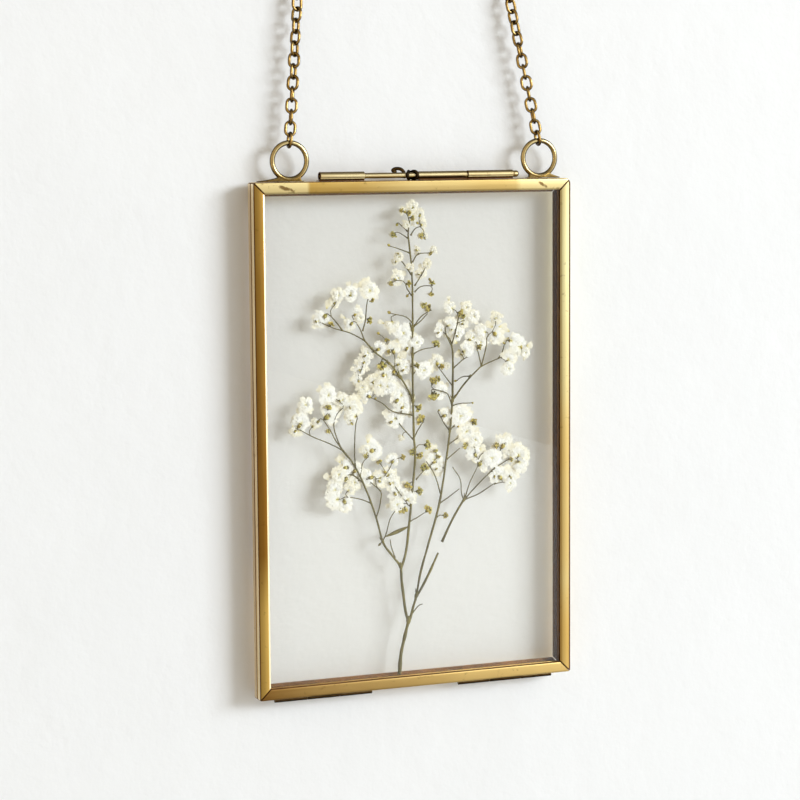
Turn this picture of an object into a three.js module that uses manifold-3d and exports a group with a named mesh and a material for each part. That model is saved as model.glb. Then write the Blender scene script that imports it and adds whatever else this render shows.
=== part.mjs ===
// A hanging double-glass frame of brass channel with a pressed gypsophila spray between its panes.
// Millimetres, +Z up, the front faces -Y. While the parts are made, X = 0 is the frame's centre,
// Y = 0 the parting plane between its two halves and Z = 0 its bottom edge; the last lines move
// everything so that the origin is the point that the two chains hang from.
import * as THREE from 'three';
import { mergeVertices } from 'three/addons/utils/BufferGeometryUtils.js';
import Module from 'manifold-3d';

const wasm = await Module();
wasm.setup();

// The two halves
const frameWidth = 106.5;
const frameHeight = 160;
const halfGap = 0.15;            // from the parting plane to either half
const halfDepth = 2.65;          // each half, front to back
const innerReach = 3.4;          // width of the lip beside the parting plane
const outerReach = { front: 3.6, back: 4.3 };   // width of the lip that shows
const rolledLip = { width: 0.5, fall: 0.17 };   // its free edge leans in towards the glass
const webWall = 0.6;
const outerLip = 0.5;            // the lip that shows, thicker than the inner one
const innerLip = 0.45;
const mitreGap = 0.21;           // along each rail, for a joint of 0.3 mm
const glassThickness = 1.2;
const glassClearance = 0.3;

// Rings that the chains hook into
const ringRadius = 5.57;         // of the wire's centre line
const ringWire = 0.72;           // wire radius
const ringDepth = 1.7;           // the rings stand on the back half
const ringPlaces = { left: -40.0, right: 44.2 };
const footLength = 4.7;          // towards the frame's middle
const footTail = { left: 12.3, right: 7.6, height: 0.4 };   // braze that runs out towards the corner
const footShoulder = { x: 3.6, z: 1.5 };   // where the flare runs into the ring's wire
const footCurve = 0.3;           // height of the flare's bend
const tailCurve = { x: 4.8, z: 0.8 };
const footOverlap = 0.06;        // radians that the foot runs up inside the wire
const footHalfDepth = 0.7;
const standOff = 0.1;            // between a soldered piece and the rail under it

// The closing barrels and their pin
const closingAxis = { y: -0.3, z: frameHeight + 1.6 };
const boreRadius = 0.93;
const barrels = [
  { name: 'closing_barrel_a', from: -31.1, to: -16.4, radius: 1.35, side: 1 },
  { name: 'closing_barrel_b', from: 1.4, to: 18.0, radius: 1.15, side: -1 },
  { name: 'closing_barrel_c', from: 18.3, to: 34.0, radius: 1.25, side: 1 },
];
const leafDepth = 2.6;           // a barrel's strap, out from the axis
const strapThickness = 0.2;
const closingNeck = 0.5;         // half width of the metal between a strap and its barrel
const closingPin = { from: -30.2, to: 34.2, radius: 0.82, tip: 0.57, taper: 0.4, head: 1.0, headLength: 1.9 };

// The tether beside the exposed part of the pin
const tetherEye = { x: -5.6, y: 1.3, radius: 1.85, wire: 0.3 };
const tetherLinks = [
  { name: 'tether_link_1', x: -2.0, radius: 1.17, wire: 0.22 },
  { name: 'tether_link_2', x: -0.4, radius: 1.17, wire: 0.22 },
];

// The bottom hinges
const hingeAxis = { y: 0, z: -0.85 };
const knuckleRadius = 0.6;
const knuckleBore = 0.38;
const hingePinRadius = 0.3;
const hingeNeck = 0.3;
const knuckleGap = 0.3;
const hinges = [
  { name: 'left', from: -47.6, to: -15.2 },
  { name: 'right', from: 14.6, to: 47.4 },
];

// The chains lean in towards each other and back towards the wall
const chainWidth = 3.9;
const chainRise = 52;
const chainLean = { inwards: 0.148, back: 0.2 };
const hangRingRadius = 3.9;
const hangRingWire = 0.6;
const chainGap = 0.69;           // from a chain's end to the ring that it hooks into

// The spray lies flat between the panes
const stemPlane = 0.25;
const stemFlatness = 0.72;
const bloomPlane = { from: -0.8, to: -0.42 };

const brass = { color: 0xb98b3f, roughness: 0.35, metalness: 1 };
const darkBrass = { color: 0x3a2f1d, roughness: 0.5, metalness: 1 };
const glass = { color: 0xeef2ee, roughness: 0.03, metalness: 0, transparent: true, opacity: 0.25 };
const stemGreen = { color: 0x6d6440, roughness: 0.8, metalness: 0 };
const petalWhite = { color: 0xf1efe4, roughness: 0.9, metalness: 0 };

// How many flat faces stand for a full turn
const sides = { bore: 20, rod: 16, pin: 20, wire: 8, thinWire: 6, chain: 8, stalk: 6 };
const steps = { arc: 10, flare: 5, dome: 5, ring: 32, hangRing: 24, eye: 18, link: 16, chain: 6, stalk: 2 };

const parts = new THREE.Group();

function add(name, geometry, finish) {
  const mesh = new THREE.Mesh(geometry, new THREE.MeshStandardMaterial(finish));
  mesh.name = name;
  parts.add(mesh);
  return mesh;
}

// Shares the vertices of a closed surface and turns its faces outwards.
function closed(geometry) {
  geometry.deleteAttribute('normal');
  geometry.deleteAttribute('uv');
  const merged = mergeVertices(geometry, 1e-4);
  const place = merged.attributes.position;
  const index = merged.index.array;
  const corner = [new THREE.Vector3(), new THREE.Vector3(), new THREE.Vector3()];
  let volume = 0;
  for (let i = 0; i < index.length; i += 3) {
    corner.forEach((point, k) => point.fromBufferAttribute(place, index[i + k]));
    volume += corner[0].dot(corner[1].clone().cross(corner[2]));
  }
  if (volume < 0) {
    for (let i = 0; i < index.length; i += 3) {
      [index[i + 1], index[i + 2]] = [index[i + 2], index[i + 1]];
    }
  }
  return merged;
}

function circlePoints(radius, count, centre = { y: 0, z: 0 }) {
  return Array.from({ length: count }, (_, i) => {
    const angle = (i + 0.5) / count * Math.PI * 2;
    return new THREE.Vector2(centre.y + radius * Math.cos(angle), centre.z + radius * Math.sin(angle));
  });
}

function solidOf(geometry) {
  const merged = closed(geometry);
  return new wasm.Manifold(new wasm.Mesh({
    numProp: 3,
    vertProperties: merged.attributes.position.array,
    triVerts: new Uint32Array(merged.index.array),
  }));
}

function geometryOf(solid) {
  const mesh = solid.getMesh();
  const geometry = new THREE.BufferGeometry();
  geometry.setAttribute('position', new THREE.BufferAttribute(mesh.vertProperties, 3));
  geometry.setIndex(new THREE.BufferAttribute(mesh.triVerts, 1));
  return geometry;
}

// Extrudes an outline drawn in (Y, Z) along X, from one place to another.
function alongX(shape, from, to) {
  const geometry = new THREE.ExtrudeGeometry(shape, {
    depth: to - from, bevelEnabled: false, curveSegments: steps.arc,
  });
  const turn = new THREE.Matrix4().set(0, 0, 1, from, 1, 0, 0, 0, 0, 1, 0, 0, 0, 0, 0, 1);
  return closed(geometry.applyMatrix4(turn));
}

// A mitred length of U channel. inset is measured inwards from the frame's outer edge.
function rail(half, edge) {
  const web = half * halfGap;
  const face = half * (halfGap + halfDepth);
  const inner = half * (halfGap + innerLip);
  const outer = half * (halfGap + halfDepth - outerLip);
  const reach = half < 0 ? outerReach.front : outerReach.back;
  const section = new THREE.Shape([
    [0, web], [innerReach, web], [innerReach, inner], [webWall, inner],
    [webWall, outer], [reach, outer], [reach, face - half * rolledLip.fall],
    [reach - rolledLip.width, face], [0, face],
  ].map(([inset, y]) => new THREE.Vector2(inset, y)));
  const geometry = new THREE.ExtrudeGeometry(section, { depth: 1, bevelEnabled: false });
  const upright = edge === 'left' || edge === 'right';
  const halfLength = (upright ? frameHeight : frameWidth) / 2;
  const place = geometry.attributes.position;
  for (let i = 0; i < place.count; i++) {
    const inset = place.getX(i);
    const along = (place.getZ(i) * 2 - 1) * (halfLength - inset - mitreGap);
    const spot = {
      left: [-frameWidth / 2 + inset, frameHeight / 2 + along],
      right: [frameWidth / 2 - inset, frameHeight / 2 + along],
      top: [along, frameHeight - inset],
      bottom: [along, inset],
    }[edge];
    place.setXYZ(i, spot[0], place.getY(i), spot[1]);
  }
  return closed(geometry);
}

function pane(half) {
  const margin = 2 * (webWall + glassClearance);
  const geometry = new THREE.BoxGeometry(frameWidth - margin, glassThickness, frameHeight - margin);
  const depth = half * (halfGap + innerLip + glassClearance + glassThickness / 2);
  return geometry.translate(0, depth, frameHeight / 2);
}

// A tube on a soldered strap. side is the half that the strap lies on, up is +1 over a rail.
function knuckle({ from, to, radius, bore, axis, neck, side, up, rail: railZ }) {
  const near = railZ + up * standOff;
  const far = near + up * strapThickness;
  const shoulder = axis.z - up * Math.sqrt(radius ** 2 - neck ** 2);
  const start = Math.atan2(shoulder - axis.z, neck);
  const end = Math.atan2(shoulder - axis.z, -neck);
  const shape = new THREE.Shape();
  shape.moveTo(axis.y + neck, shoulder);
  shape.absarc(axis.y, axis.z, radius, start, end, up < 0);
  const reach = axis.y + side * leafDepth;
  const strap = side > 0
    ? [[-neck, near], [reach - axis.y, near], [reach - axis.y, far], [neck, far]]
    : [[-neck, far], [reach - axis.y, far], [reach - axis.y, near], [neck, near]];
  strap.forEach(([y, z]) => shape.lineTo(axis.y + y, z));
  shape.closePath();
  shape.holes.push(new THREE.Path(circlePoints(bore, sides.bore, axis)));
  return alongX(shape, from, to);
}

function rod(from, to, radius, axis) {
  return alongX(new THREE.Shape(circlePoints(radius, sides.rod, axis)), from, to);
}

// A round-headed pin, turned about the X axis.
function headedPin({ from, to, radius, tip, taper, head, headLength }, axis) {
  const dome = headLength / 2;
  const profile = [[0, from], [tip, from], [radius, from + taper], [radius, to], [head, to]];
  for (let i = 0; i < steps.dome; i++) {
    const angle = (i / steps.dome) * Math.PI / 2;
    profile.push([head * Math.cos(angle), to + dome + dome * Math.sin(angle)]);
  }
  profile.push([0, to + headLength]);
  const geometry = new THREE.LatheGeometry(profile.map(([r, x]) => new THREE.Vector2(r, x)), sides.pin);
  const turn = new THREE.Matrix4().set(0, 1, 0, 0, 1, 0, 0, axis.y, 0, 0, 1, axis.z, 0, 0, 0, 1);
  return closed(geometry.applyMatrix4(turn));
}

function hoop(radius, wire, wireSides, ringSteps) {
  return new THREE.TorusGeometry(radius, wire, wireSides, ringSteps);
}

// A wire ring standing in the frame's plane, brazed to a low foot that flares onto the rail.
function footedRing(side) {
  const outward = side === 'left' ? -1 : 1;
  const tail = footTail[side];
  const base = frameHeight + standOff;
  const centre = base + ringRadius + ringWire;
  const ring = hoop(ringRadius, ringWire, sides.wire, steps.ring).rotateX(Math.PI / 2)
    .translate(ringPlaces[side], ringDepth, centre);
  const hollow = Math.acos(footShoulder.x / (ringRadius + ringWire)) + footOverlap;
  const flare = new THREE.Shape();
  flare.moveTo(-footLength, 0);
  flare.lineTo(tail, 0);
  flare.lineTo(tail, footTail.height);
  flare.quadraticCurveTo(tailCurve.x, tailCurve.z, footShoulder.x, footShoulder.z);
  flare.absarc(0, ringRadius + ringWire, ringRadius, -hollow, -Math.PI + hollow, true);
  flare.lineTo(-footShoulder.x, footShoulder.z);
  flare.quadraticCurveTo(-footShoulder.x, footCurve, -footLength, 0);
  const foot = new THREE.ExtrudeGeometry(flare, {
    depth: 2 * footHalfDepth, bevelEnabled: false, curveSegments: steps.flare,
  });
  foot.rotateX(Math.PI / 2).scale(outward, 1, 1).translate(ringPlaces[side], ringDepth + footHalfDepth, base);
  return geometryOf(solidOf(ring).add(solidOf(foot)));
}

function chainTube(start, end) {
  const path = new THREE.LineCurve3(start, end);
  const geometry = new THREE.ExtrudeGeometry(new THREE.Shape(circlePoints(chainWidth / 2, sides.chain)), {
    steps: steps.chain, bevelEnabled: false, extrudePath: path,
  });
  return closed(geometry);
}

// A flattened stalk through points given as [x, z].
function stalk(points, radius) {
  const curve = new THREE.CatmullRomCurve3(points.map(([x, z]) => new THREE.Vector3(x, 0, z)));
  const geometry = new THREE.ExtrudeGeometry(new THREE.Shape(circlePoints(radius, sides.stalk)), {
    steps: steps.stalk * points.length, bevelEnabled: false, extrudePath: curve,
  });
  return closed(geometry.scale(1, stemFlatness, 1).translate(0, stemPlane, 0));
}

// The outline that one group of blossoms fills, as a thin slab.
function bloomSlab(outline) {
  const shape = new THREE.Shape(outline.map(([x, z]) => new THREE.Vector2(x, z)));
  const geometry = new THREE.ExtrudeGeometry(shape, {
    depth: bloomPlane.to - bloomPlane.from, bevelEnabled: false,
  });
  return closed(geometry.rotateX(Math.PI / 2).translate(0, bloomPlane.to, 0));
}

// Both halves of the frame
for (const [half, side] of [['front', -1], ['back', 1]]) {
  for (const edge of ['left', 'right', 'top', 'bottom']) {
    add(`${half}_rail_${edge}`, rail(side, edge), brass);
  }
  add(`${half}_glass`, pane(side), glass);
}

// Closing barrels, their pin and its tether
for (const { name, from, to, radius, side } of barrels) {
  add(name, knuckle({
    from, to, radius, side, bore: boreRadius, axis: closingAxis, neck: closingNeck, up: 1, rail: frameHeight,
  }), brass);
}
add('closing_pin', headedPin(closingPin, closingAxis), brass);
const eyeHeight = frameHeight + standOff + tetherEye.radius + tetherEye.wire;
add('tether_eye', hoop(tetherEye.radius, tetherEye.wire, sides.thinWire, steps.eye).rotateX(Math.PI / 2)
  .translate(tetherEye.x, tetherEye.y, eyeHeight), darkBrass);
for (const { name, x, radius, wire } of tetherLinks) {
  add(name, hoop(radius, wire, sides.thinWire, steps.link).rotateY(Math.PI / 2)
    .translate(x, closingAxis.y, closingAxis.z), darkBrass);
}

// Bottom hinges: back, front and back knuckle on one pin
for (const { name, from, to } of hinges) {
  const share = (to - from - 2 * knuckleGap) / 3;
  [['back', 'outer'], ['front', 'middle'], ['back', 'inner']].forEach(([half, place], i) => {
    const start = from + i * (share + knuckleGap);
    add(`hinge_${name}_${half}_knuckle_${place}`, knuckle({
      from: start, to: start + share, radius: knuckleRadius, bore: knuckleBore, axis: hingeAxis,
      neck: hingeNeck, side: half === 'back' ? 1 : -1, up: -1, rail: 0,
    }), brass);
  });
  add(`hinge_${name}_pin`, rod(from, to, hingePinRadius, hingeAxis), brass);
}

// Rings, chains and the rings that the chains end in
const ringTop = frameHeight + standOff + 2 * (ringRadius + ringWire);
const hangLift = hangRingRadius + hangRingWire + chainGap;
for (const [side, x] of Object.entries(ringPlaces)) {
  add(`ring_${side}`, footedRing(side), brass);
  const inwards = side === 'left' ? 1 : -1;
  const along = new THREE.Vector3(inwards * chainLean.inwards, chainLean.back, 1);
  const start = new THREE.Vector3(x, ringDepth, ringTop);
  const lowest = start.clone().addScaledVector(along, chainGap);
  const highest = start.clone().addScaledVector(along, chainRise);
  add(`chain_${side}`, chainTube(lowest, highest), brass);
  add(`hang_ring_${side}`, hoop(hangRingRadius, hangRingWire, sides.wire, steps.hangRing).rotateX(Math.PI / 2)
    .translate(highest.x, highest.y, highest.z + hangLift), brass);
}
const hangHeight = ringTop + chainRise + hangLift;
const hangDepth = ringDepth + chainRise * chainLean.back;

// The spray's stalks, each from one fork to the next
const stalks = {
  stem_base: { radius: 0.62, points: [[-5.9, 3.8], [-5.3, 10], [-4, 16], [-2.7, 20.6]] },
  stem_left_lower: { radius: 0.48, points: [[-3.2, 22.2], [-4.6, 31], [-5.1, 37.4]] },
  stem_left_upper: {
    radius: 0.4,
    points: [[-5.8, 39.2], [-8.4, 42.6], [-11, 46.4], [-13.2, 54], [-16.2, 62.5], [-20.2, 71.2], [-24.4, 76.6]],
  },
  stem_centre_lower: {
    radius: 0.45,
    points: [[-4.4, 39.4], [-3, 45], [-2.2, 52], [-1.2, 61], [-0.2, 70.2], [0, 74.5], [-0.4, 80], [-0.6, 91]],
  },
  stem_centre_upper: {
    radius: 0.38,
    points: [[-0.6, 92.6], [-0.7, 104], [-0.5, 117], [-0.6, 130], [-1.3, 138], [-1.8, 143], [-1.4, 147]],
  },
  stem_right_lower: { radius: 0.5, points: [[-1.9, 22], [-0.9, 25.5], [-0.1, 27.8]] },
  stem_tall: {
    radius: 0.42,
    points: [[0.3, 29.8], [1.6, 36], [4.6, 46], [8.3, 58], [10.5, 71], [12, 81], [12.9, 90]],
  },
  stem_tall_upper: { radius: 0.34, points: [[13, 91.8], [13.1, 101.6], [12.8, 107], [10.8, 111.5]] },
  stem_broken_stub: { radius: 0.4, points: [[1.1, 29.6], [2.9, 32.8], [5.2, 37], [7.7, 42]] },
  stem_outer: { radius: 0.34, points: [[9.2, 46], [12.5, 52.1], [14.4, 55.4], [16.6, 58.4]] },
  branch_upper_left: {
    radius: 0.32,
    points: [[-1.7, 93.6], [-4.4, 98], [-8.4, 103], [-13, 106.6], [-16.8, 110.6]],
  },
  branch_upper_right: { radius: 0.32, points: [[14.1, 91.6], [16.2, 94.6], [19.3, 97.8], [22.9, 100.9]] },
};
for (const [name, { radius, points }] of Object.entries(stalks)) {
  add(name, stalk(points, radius), stemGreen);
}

// The blossoms, one outline for each group of flower heads
const blooms = {
  blooms_top: [
    [-9, 144], [-6, 149], [-3, 153], [0, 153], [3, 149], [5, 144], [7, 138], [2, 135], [-1, 128], [-5, 134], [-9, 139],
  ],
  blooms_upper_left: [
    [-34, 116], [-32, 119], [-23, 118], [-21, 123], [-17, 128], [-13, 127], [-12, 123], [-14, 117], [-15, 111],
    [-20, 109], [-28, 112],
  ],
  blooms_centre: [
    [-19, 104], [-14, 110], [-8, 114], [-10, 119], [-5, 121], [-1, 117], [6, 122], [9, 117], [8, 108], [9, 100],
    [6, 91], [7, 84], [2, 78], [-5, 83], [-10, 88], [-16, 95],
  ],
  blooms_upper_right: [
    [11, 116], [14, 121], [22, 118], [30, 116], [34, 109], [40, 107], [38, 100], [29, 97], [22, 104], [16, 105],
    [11, 111],
  ],
  blooms_left: [
    [-42, 84], [-38, 87], [-32, 90], [-27, 94], [-21, 92], [-18, 88], [-19, 81], [-24, 80], [-31, 80], [-38, 80],
  ],
  blooms_lower_left: [
    [-31, 67], [-27, 71], [-20, 78], [-13, 76], [-11, 70], [-6, 67], [-4, 60], [-8, 56], [-15, 60], [-23, 58],
    [-29, 60],
  ],
  blooms_right: [
    [12, 86], [15, 89], [22, 86], [29, 81], [36, 77], [41, 72], [39, 66], [32, 61], [26, 60], [22, 67], [19, 74],
    [15, 81],
  ],
  blooms_lower_right: [[-2, 76], [2, 77], [6, 69], [6, 60], [13, 57], [12, 52], [1, 53], [-2, 66]],
};
for (const [name, outline] of Object.entries(blooms)) {
  add(name, bloomSlab(outline), petalWhite);
}

// The hanging point becomes the origin.
parts.position.set(0, -hangDepth, -hangHeight);

export default parts;
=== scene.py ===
import math
import random

import bmesh
import bpy
from mathutils import Matrix, Vector, noise
from mathutils.geometry import tessellate_polygon


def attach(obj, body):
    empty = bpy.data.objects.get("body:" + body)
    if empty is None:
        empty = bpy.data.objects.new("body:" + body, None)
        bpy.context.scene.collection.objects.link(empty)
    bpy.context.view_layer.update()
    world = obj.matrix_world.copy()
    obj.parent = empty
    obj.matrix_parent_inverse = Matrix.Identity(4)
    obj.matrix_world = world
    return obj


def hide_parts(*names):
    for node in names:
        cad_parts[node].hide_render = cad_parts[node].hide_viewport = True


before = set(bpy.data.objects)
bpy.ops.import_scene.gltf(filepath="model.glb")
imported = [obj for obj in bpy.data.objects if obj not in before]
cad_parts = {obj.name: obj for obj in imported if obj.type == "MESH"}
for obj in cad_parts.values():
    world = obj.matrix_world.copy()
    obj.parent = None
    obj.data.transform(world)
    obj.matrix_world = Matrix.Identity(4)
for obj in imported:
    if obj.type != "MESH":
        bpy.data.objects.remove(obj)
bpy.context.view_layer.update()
scene = bpy.context.scene
mm = 0.001
hangPoint = Vector((0, 12.1, 229.87))  # in millimetres: X from the middle, Y from the parting plane, Z up


def place(x, y, z):
    return (Vector((x, y, z)) - hangPoint) * mm


class Shape:
    def __init__(self):
        self.verts, self.faces, self.mats, self.along, self.tone = [], [], [], [], []

    def add(self, verts, faces, mat=0, along=None, tone=0.5):
        base = len(self.verts)
        self.verts += [Vector(v) for v in verts]
        self.faces += [[base + i for i in face] for face in faces]
        self.mats += [mat] * len(faces) if isinstance(mat, int) else mat
        self.along += list(along) if along is not None else [0.5] * len(verts)
        self.tone += [tone] * len(verts)
        return self

    def piece(self, name, body, slot, materials, replaces=(), sharp=None, marks=False):
        mesh = bpy.data.meshes.new(name)
        mesh.from_pydata([place(*v) for v in self.verts], [], self.faces)
        for material in materials:
            mesh.materials.append(material)
        mesh.polygons.foreach_set("material_index", self.mats)
        if marks:
            for label, values in (("along", self.along), ("tone", self.tone)):
                mesh.attributes.new(label, "FLOAT", "POINT").data.foreach_set("value", values)
        mesh.validate()
        mesh.shade_smooth()
        if sharp:
            mesh.set_sharp_from_angle(angle=math.radians(sharp))
        obj = bpy.data.objects.new(name, mesh)
        scene.collection.objects.link(obj)
        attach(obj, body)
        if replaces:
            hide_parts(*replaces)
        work = bmesh.new()
        work.from_mesh(mesh)
        bmesh.ops.recalc_face_normals(work, faces=work.faces)
        work.to_mesh(mesh)
        work.free()
        return obj


# The faces between rings of points that follow each other, size points to a ring, and those of the two ends.
def bands(rings, size, loop=False):
    faces = []
    for row in range(rings if loop else rings - 1):
        a, b = row * size, (row + 1) % rings * size
        faces += [[a + k, a + (k + 1) % size, b + (k + 1) % size, b + k] for k in range(size)]
    return faces


def caps(rings, size):
    return [list(range(size))[::-1], [(rings - 1) * size + k for k in range(size)]]


# A tube along points. up is the direction that the curve lies flat to, and flat its squeeze that way.
def sweep(points, radii, sides, up=(0, 1, 0), flat=1.0, loop=False):
    points = [Vector(p) for p in points]
    up = Vector(up).normalized()
    count = len(points)
    if not hasattr(radii, "__len__"):
        radii = [radii] * count
    verts = []
    for i, point in enumerate(points):
        before = points[i - 1] if i or loop else point
        after = points[(i + 1) % count] if i < count - 1 or loop else point
        tangent = (after - before).normalized()
        side = tangent.cross(up).normalized()
        lift = side.cross(tangent)
        for k in range(sides):
            angle = 2 * math.pi * (k + 0.5) / sides
            verts.append(point + (side * math.cos(angle) + lift * math.sin(angle) * flat) * radii[i])
    return verts, bands(count, sides, loop) + ([] if loop else caps(count, sides))


# Points of a smooth curve through the given ones.
def smoothLine(points, steps):
    points = [Vector(p) for p in points]
    ends = [points[0] * 2 - points[1]] + points + [points[-1] * 2 - points[-2]]
    line = []
    for i in range(len(points) - 1):
        a, b, c, d = ends[i:i + 4]
        for k in range(steps):
            t = k / steps
            line.append(0.5 * (2 * b + (c - a) * t + (2 * a - 5 * b + 4 * c - d) * t ** 2
                               + (3 * b - a - 3 * c + d) * t ** 3))
    return line + [points[-1]]


# Rounds the corners of an outline, each by its own radius.
def rounded(corners, radii, steps):
    line = []
    for i, corner in enumerate(corners):
        corner = Vector(corner)
        before = (Vector(corners[i - 1]) - corner).normalized()
        after = (Vector(corners[(i + 1) % len(corners)]) - corner).normalized()
        for k in range(steps + 1):
            t = k / steps
            start, end = corner + before * radii[i], corner + after * radii[i]
            line.append(start * (1 - t) ** 2 + corner * 2 * t * (1 - t) + end * t ** 2)
    return line


# Extrudes an outline drawn in (Y, Z), with its holes, along X, with a small bevel at both ends.
def extrudeX(outline, holes, start, end, bevel):
    loops = [[Vector(p) for p in loop] for loop in (outline, *holes)]
    flat = [p for loop in loops for p in loop]
    inward = []
    for n, loop in enumerate(loops):
        area = sum(a.cross(b) for a, b in zip(loop, loop[1:] + loop[:1]))
        turn = 1 if area > 0 else -1
        turn = turn if n == 0 else -turn
        for i, p in enumerate(loop):
            d = (loop[(i + 1) % len(loop)] - loop[i - 1]).normalized()
            inward.append(Vector((-d.y, d.x)) * turn)
    verts, faces = [], []
    for x, inset in ((start, bevel), (start + bevel, 0), (end - bevel, 0), (end, bevel)):
        verts += [(x, p.x + n.x * inset, p.y + n.y * inset) for p, n in zip(flat, inward)]
    total = len(flat)
    for row in range(3):
        base = 0
        for loop in loops:
            size = len(loop)
            for i in range(size):
                a, b = base + i, base + (i + 1) % size
                faces.append([row * total + a, row * total + b, (row + 1) * total + b, (row + 1) * total + a])
            base += size
    for tri in tessellate_polygon([[p.to_3d() for p in loop] for loop in loops]):
        faces += [list(tri), [3 * total + i for i in reversed(tri)]]
    return verts, faces


def circle(centre, radius, sides):
    return [Vector((centre[0] + radius * math.cos(2 * math.pi * i / sides),
                    centre[1] + radius * math.sin(2 * math.pi * i / sides))) for i in range(sides)]


# A profile of (place along X, radius) turned about an axis that runs along X.
def turnedX(profile, axisY, axisZ, sides):
    verts = []
    for x, radius in profile:
        verts += [(x, p.x, p.y) for p in circle((axisY, axisZ), radius, sides)]
    return verts, bands(len(profile), sides) + caps(len(profile), sides)


# The way that a heading points within the sheet of the spray, from upright towards +X.
def headed(heading):
    return Vector((math.sin(heading), 0, math.cos(heading)))


def camel(node):
    first, *others = node.split("_")
    return first + "".join(word.capitalize() for word in others)


def hoop(centre, radius, count):
    return [Vector(centre) + Vector((math.cos(a), 0, math.sin(a))) * radius
            for a in (2 * math.pi * k / count for k in range(count))]


# Where something stands that is seen at an azimuth and elevation from the object.
def direction(azimuth, elevation):
    turn, rise = math.radians(azimuth), math.radians(elevation)
    return Vector((math.sin(turn) * math.cos(rise), -math.cos(turn) * math.cos(rise), math.sin(rise)))


view = {"azimuth": -22.004, "elevation": 6.275, "roll": -0.414, "lens": 110.25,
        "place": (-291.08, -708.43, 175.38), "sensor": 36, "near": 0.01}
back = direction(view["azimuth"], view["elevation"])
turn, tip = math.radians(view["azimuth"]), math.radians(view["roll"])
right = Vector((math.cos(turn), math.sin(turn), 0))
over = back.cross(right)
right, over = right * math.cos(tip) + over * math.sin(tip), over * math.cos(tip) - right * math.sin(tip)
cameraData = bpy.data.cameras.new("camera")
cameraData.sensor_width = view["sensor"]
cameraData.lens = view["lens"]
cameraData.clip_start = view["near"]
camera = bpy.data.objects.new("camera", cameraData)
turned = Matrix((right, over, back)).transposed().to_4x4()
camera.matrix_world = Matrix.Translation(place(*view["place"])) @ turned
scene.collection.objects.link(camera)
scene.camera = camera
scene.view_settings.view_transform = "Standard"
print("camera in place")


class Nodes:
    def __init__(self, owner, output="OutputMaterial"):
        owner.use_nodes = True
        self.owner, self.tree = owner, owner.node_tree
        self.tree.nodes.clear()
        self.output = self.new(output)

    def new(self, kind, inputs=None, **settings):
        node = self.tree.nodes.new("ShaderNode" + kind)
        for key, value in settings.items():
            setattr(node, key, value)
        for key, value in (inputs or {}).items():
            if isinstance(value, bpy.types.NodeSocket):
                self.tree.links.new(value, node.inputs[key])
            else:
                node.inputs[key].default_value = value
        return node

    def noise(self, scale, detail=3.0, stretch=(1, 1, 1), rough=0.5):
        spot = self.new("TexCoord").outputs["Object"]
        if tuple(stretch) != (1, 1, 1):
            spot = self.new("Mapping", {"Vector": spot, "Scale": stretch}).outputs[0]
        inputs = {"Vector": spot, "Scale": scale, "Detail": detail, "Roughness": rough}
        return self.new("TexNoise", inputs).outputs[0]

    def ramp(self, source, *stops):
        node = self.new("ValToRGB", {"Fac": source})
        ramp = node.color_ramp
        while len(ramp.elements) < len(stops):
            ramp.elements.new(0.5)
        for element, (spot, colour) in zip(ramp.elements, stops):
            element.position = spot
            element.color = (*colour, 1) if hasattr(colour, "__len__") else (colour, colour, colour, 1)
        return node.outputs[0]

    def mix(self, factor, a, b, blend="MIX"):
        node = self.new("Mix", data_type="RGBA", blend_type=blend)
        for socket, value in ((node.inputs[0], factor), (node.inputs[6], a), (node.inputs[7], b)):
            if isinstance(value, bpy.types.NodeSocket):
                self.tree.links.new(value, socket)
            else:
                socket.default_value = (*value, 1) if hasattr(value, "__len__") else value
        return node.outputs[2]

    def range(self, source, low, high, fromLow=0.0, fromHigh=1.0):
        return self.new("MapRange", {"Value": source, "From Min": fromLow, "From Max": fromHigh,
                                     "To Min": low, "To Max": high}).outputs[0]

    def math(self, kind, a, b):
        return self.new("Math", {0: a, 1: b}, operation=kind).outputs[0]

    def bump(self, height, depth, strength=1.0):
        return self.new("Bump", {"Height": height, "Distance": depth, "Strength": strength}).outputs[0]

    def attribute(self, name):
        return self.new("Attribute", attribute_name=name, attribute_type="GEOMETRY").outputs["Fac"]

    def axis(self, which, kind="Object"):
        return self.new("SeparateXYZ", {"Vector": self.new("TexCoord").outputs[kind]}).outputs[which]

    def either(self, factor, a, b):
        return self.new("MixShader", {0: factor, 1: a, 2: b}).outputs[0]

    def principled(self, **inputs):
        named = {key.replace("_", " "): value for key, value in inputs.items()}
        return self.new("BsdfPrincipled", named).outputs[0]

    def clear(self, colour=(1, 1, 1)):
        return self.new("BsdfTransparent", {"Color": (*colour, 1)}).outputs[0]

    def end(self, shader):
        self.tree.links.new(shader, self.output.inputs[0])
        return self.owner

    def finish(self, **inputs):
        return self.end(self.principled(**inputs))


def newFinish(name):
    return Nodes(bpy.data.materials.new(name))


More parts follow.
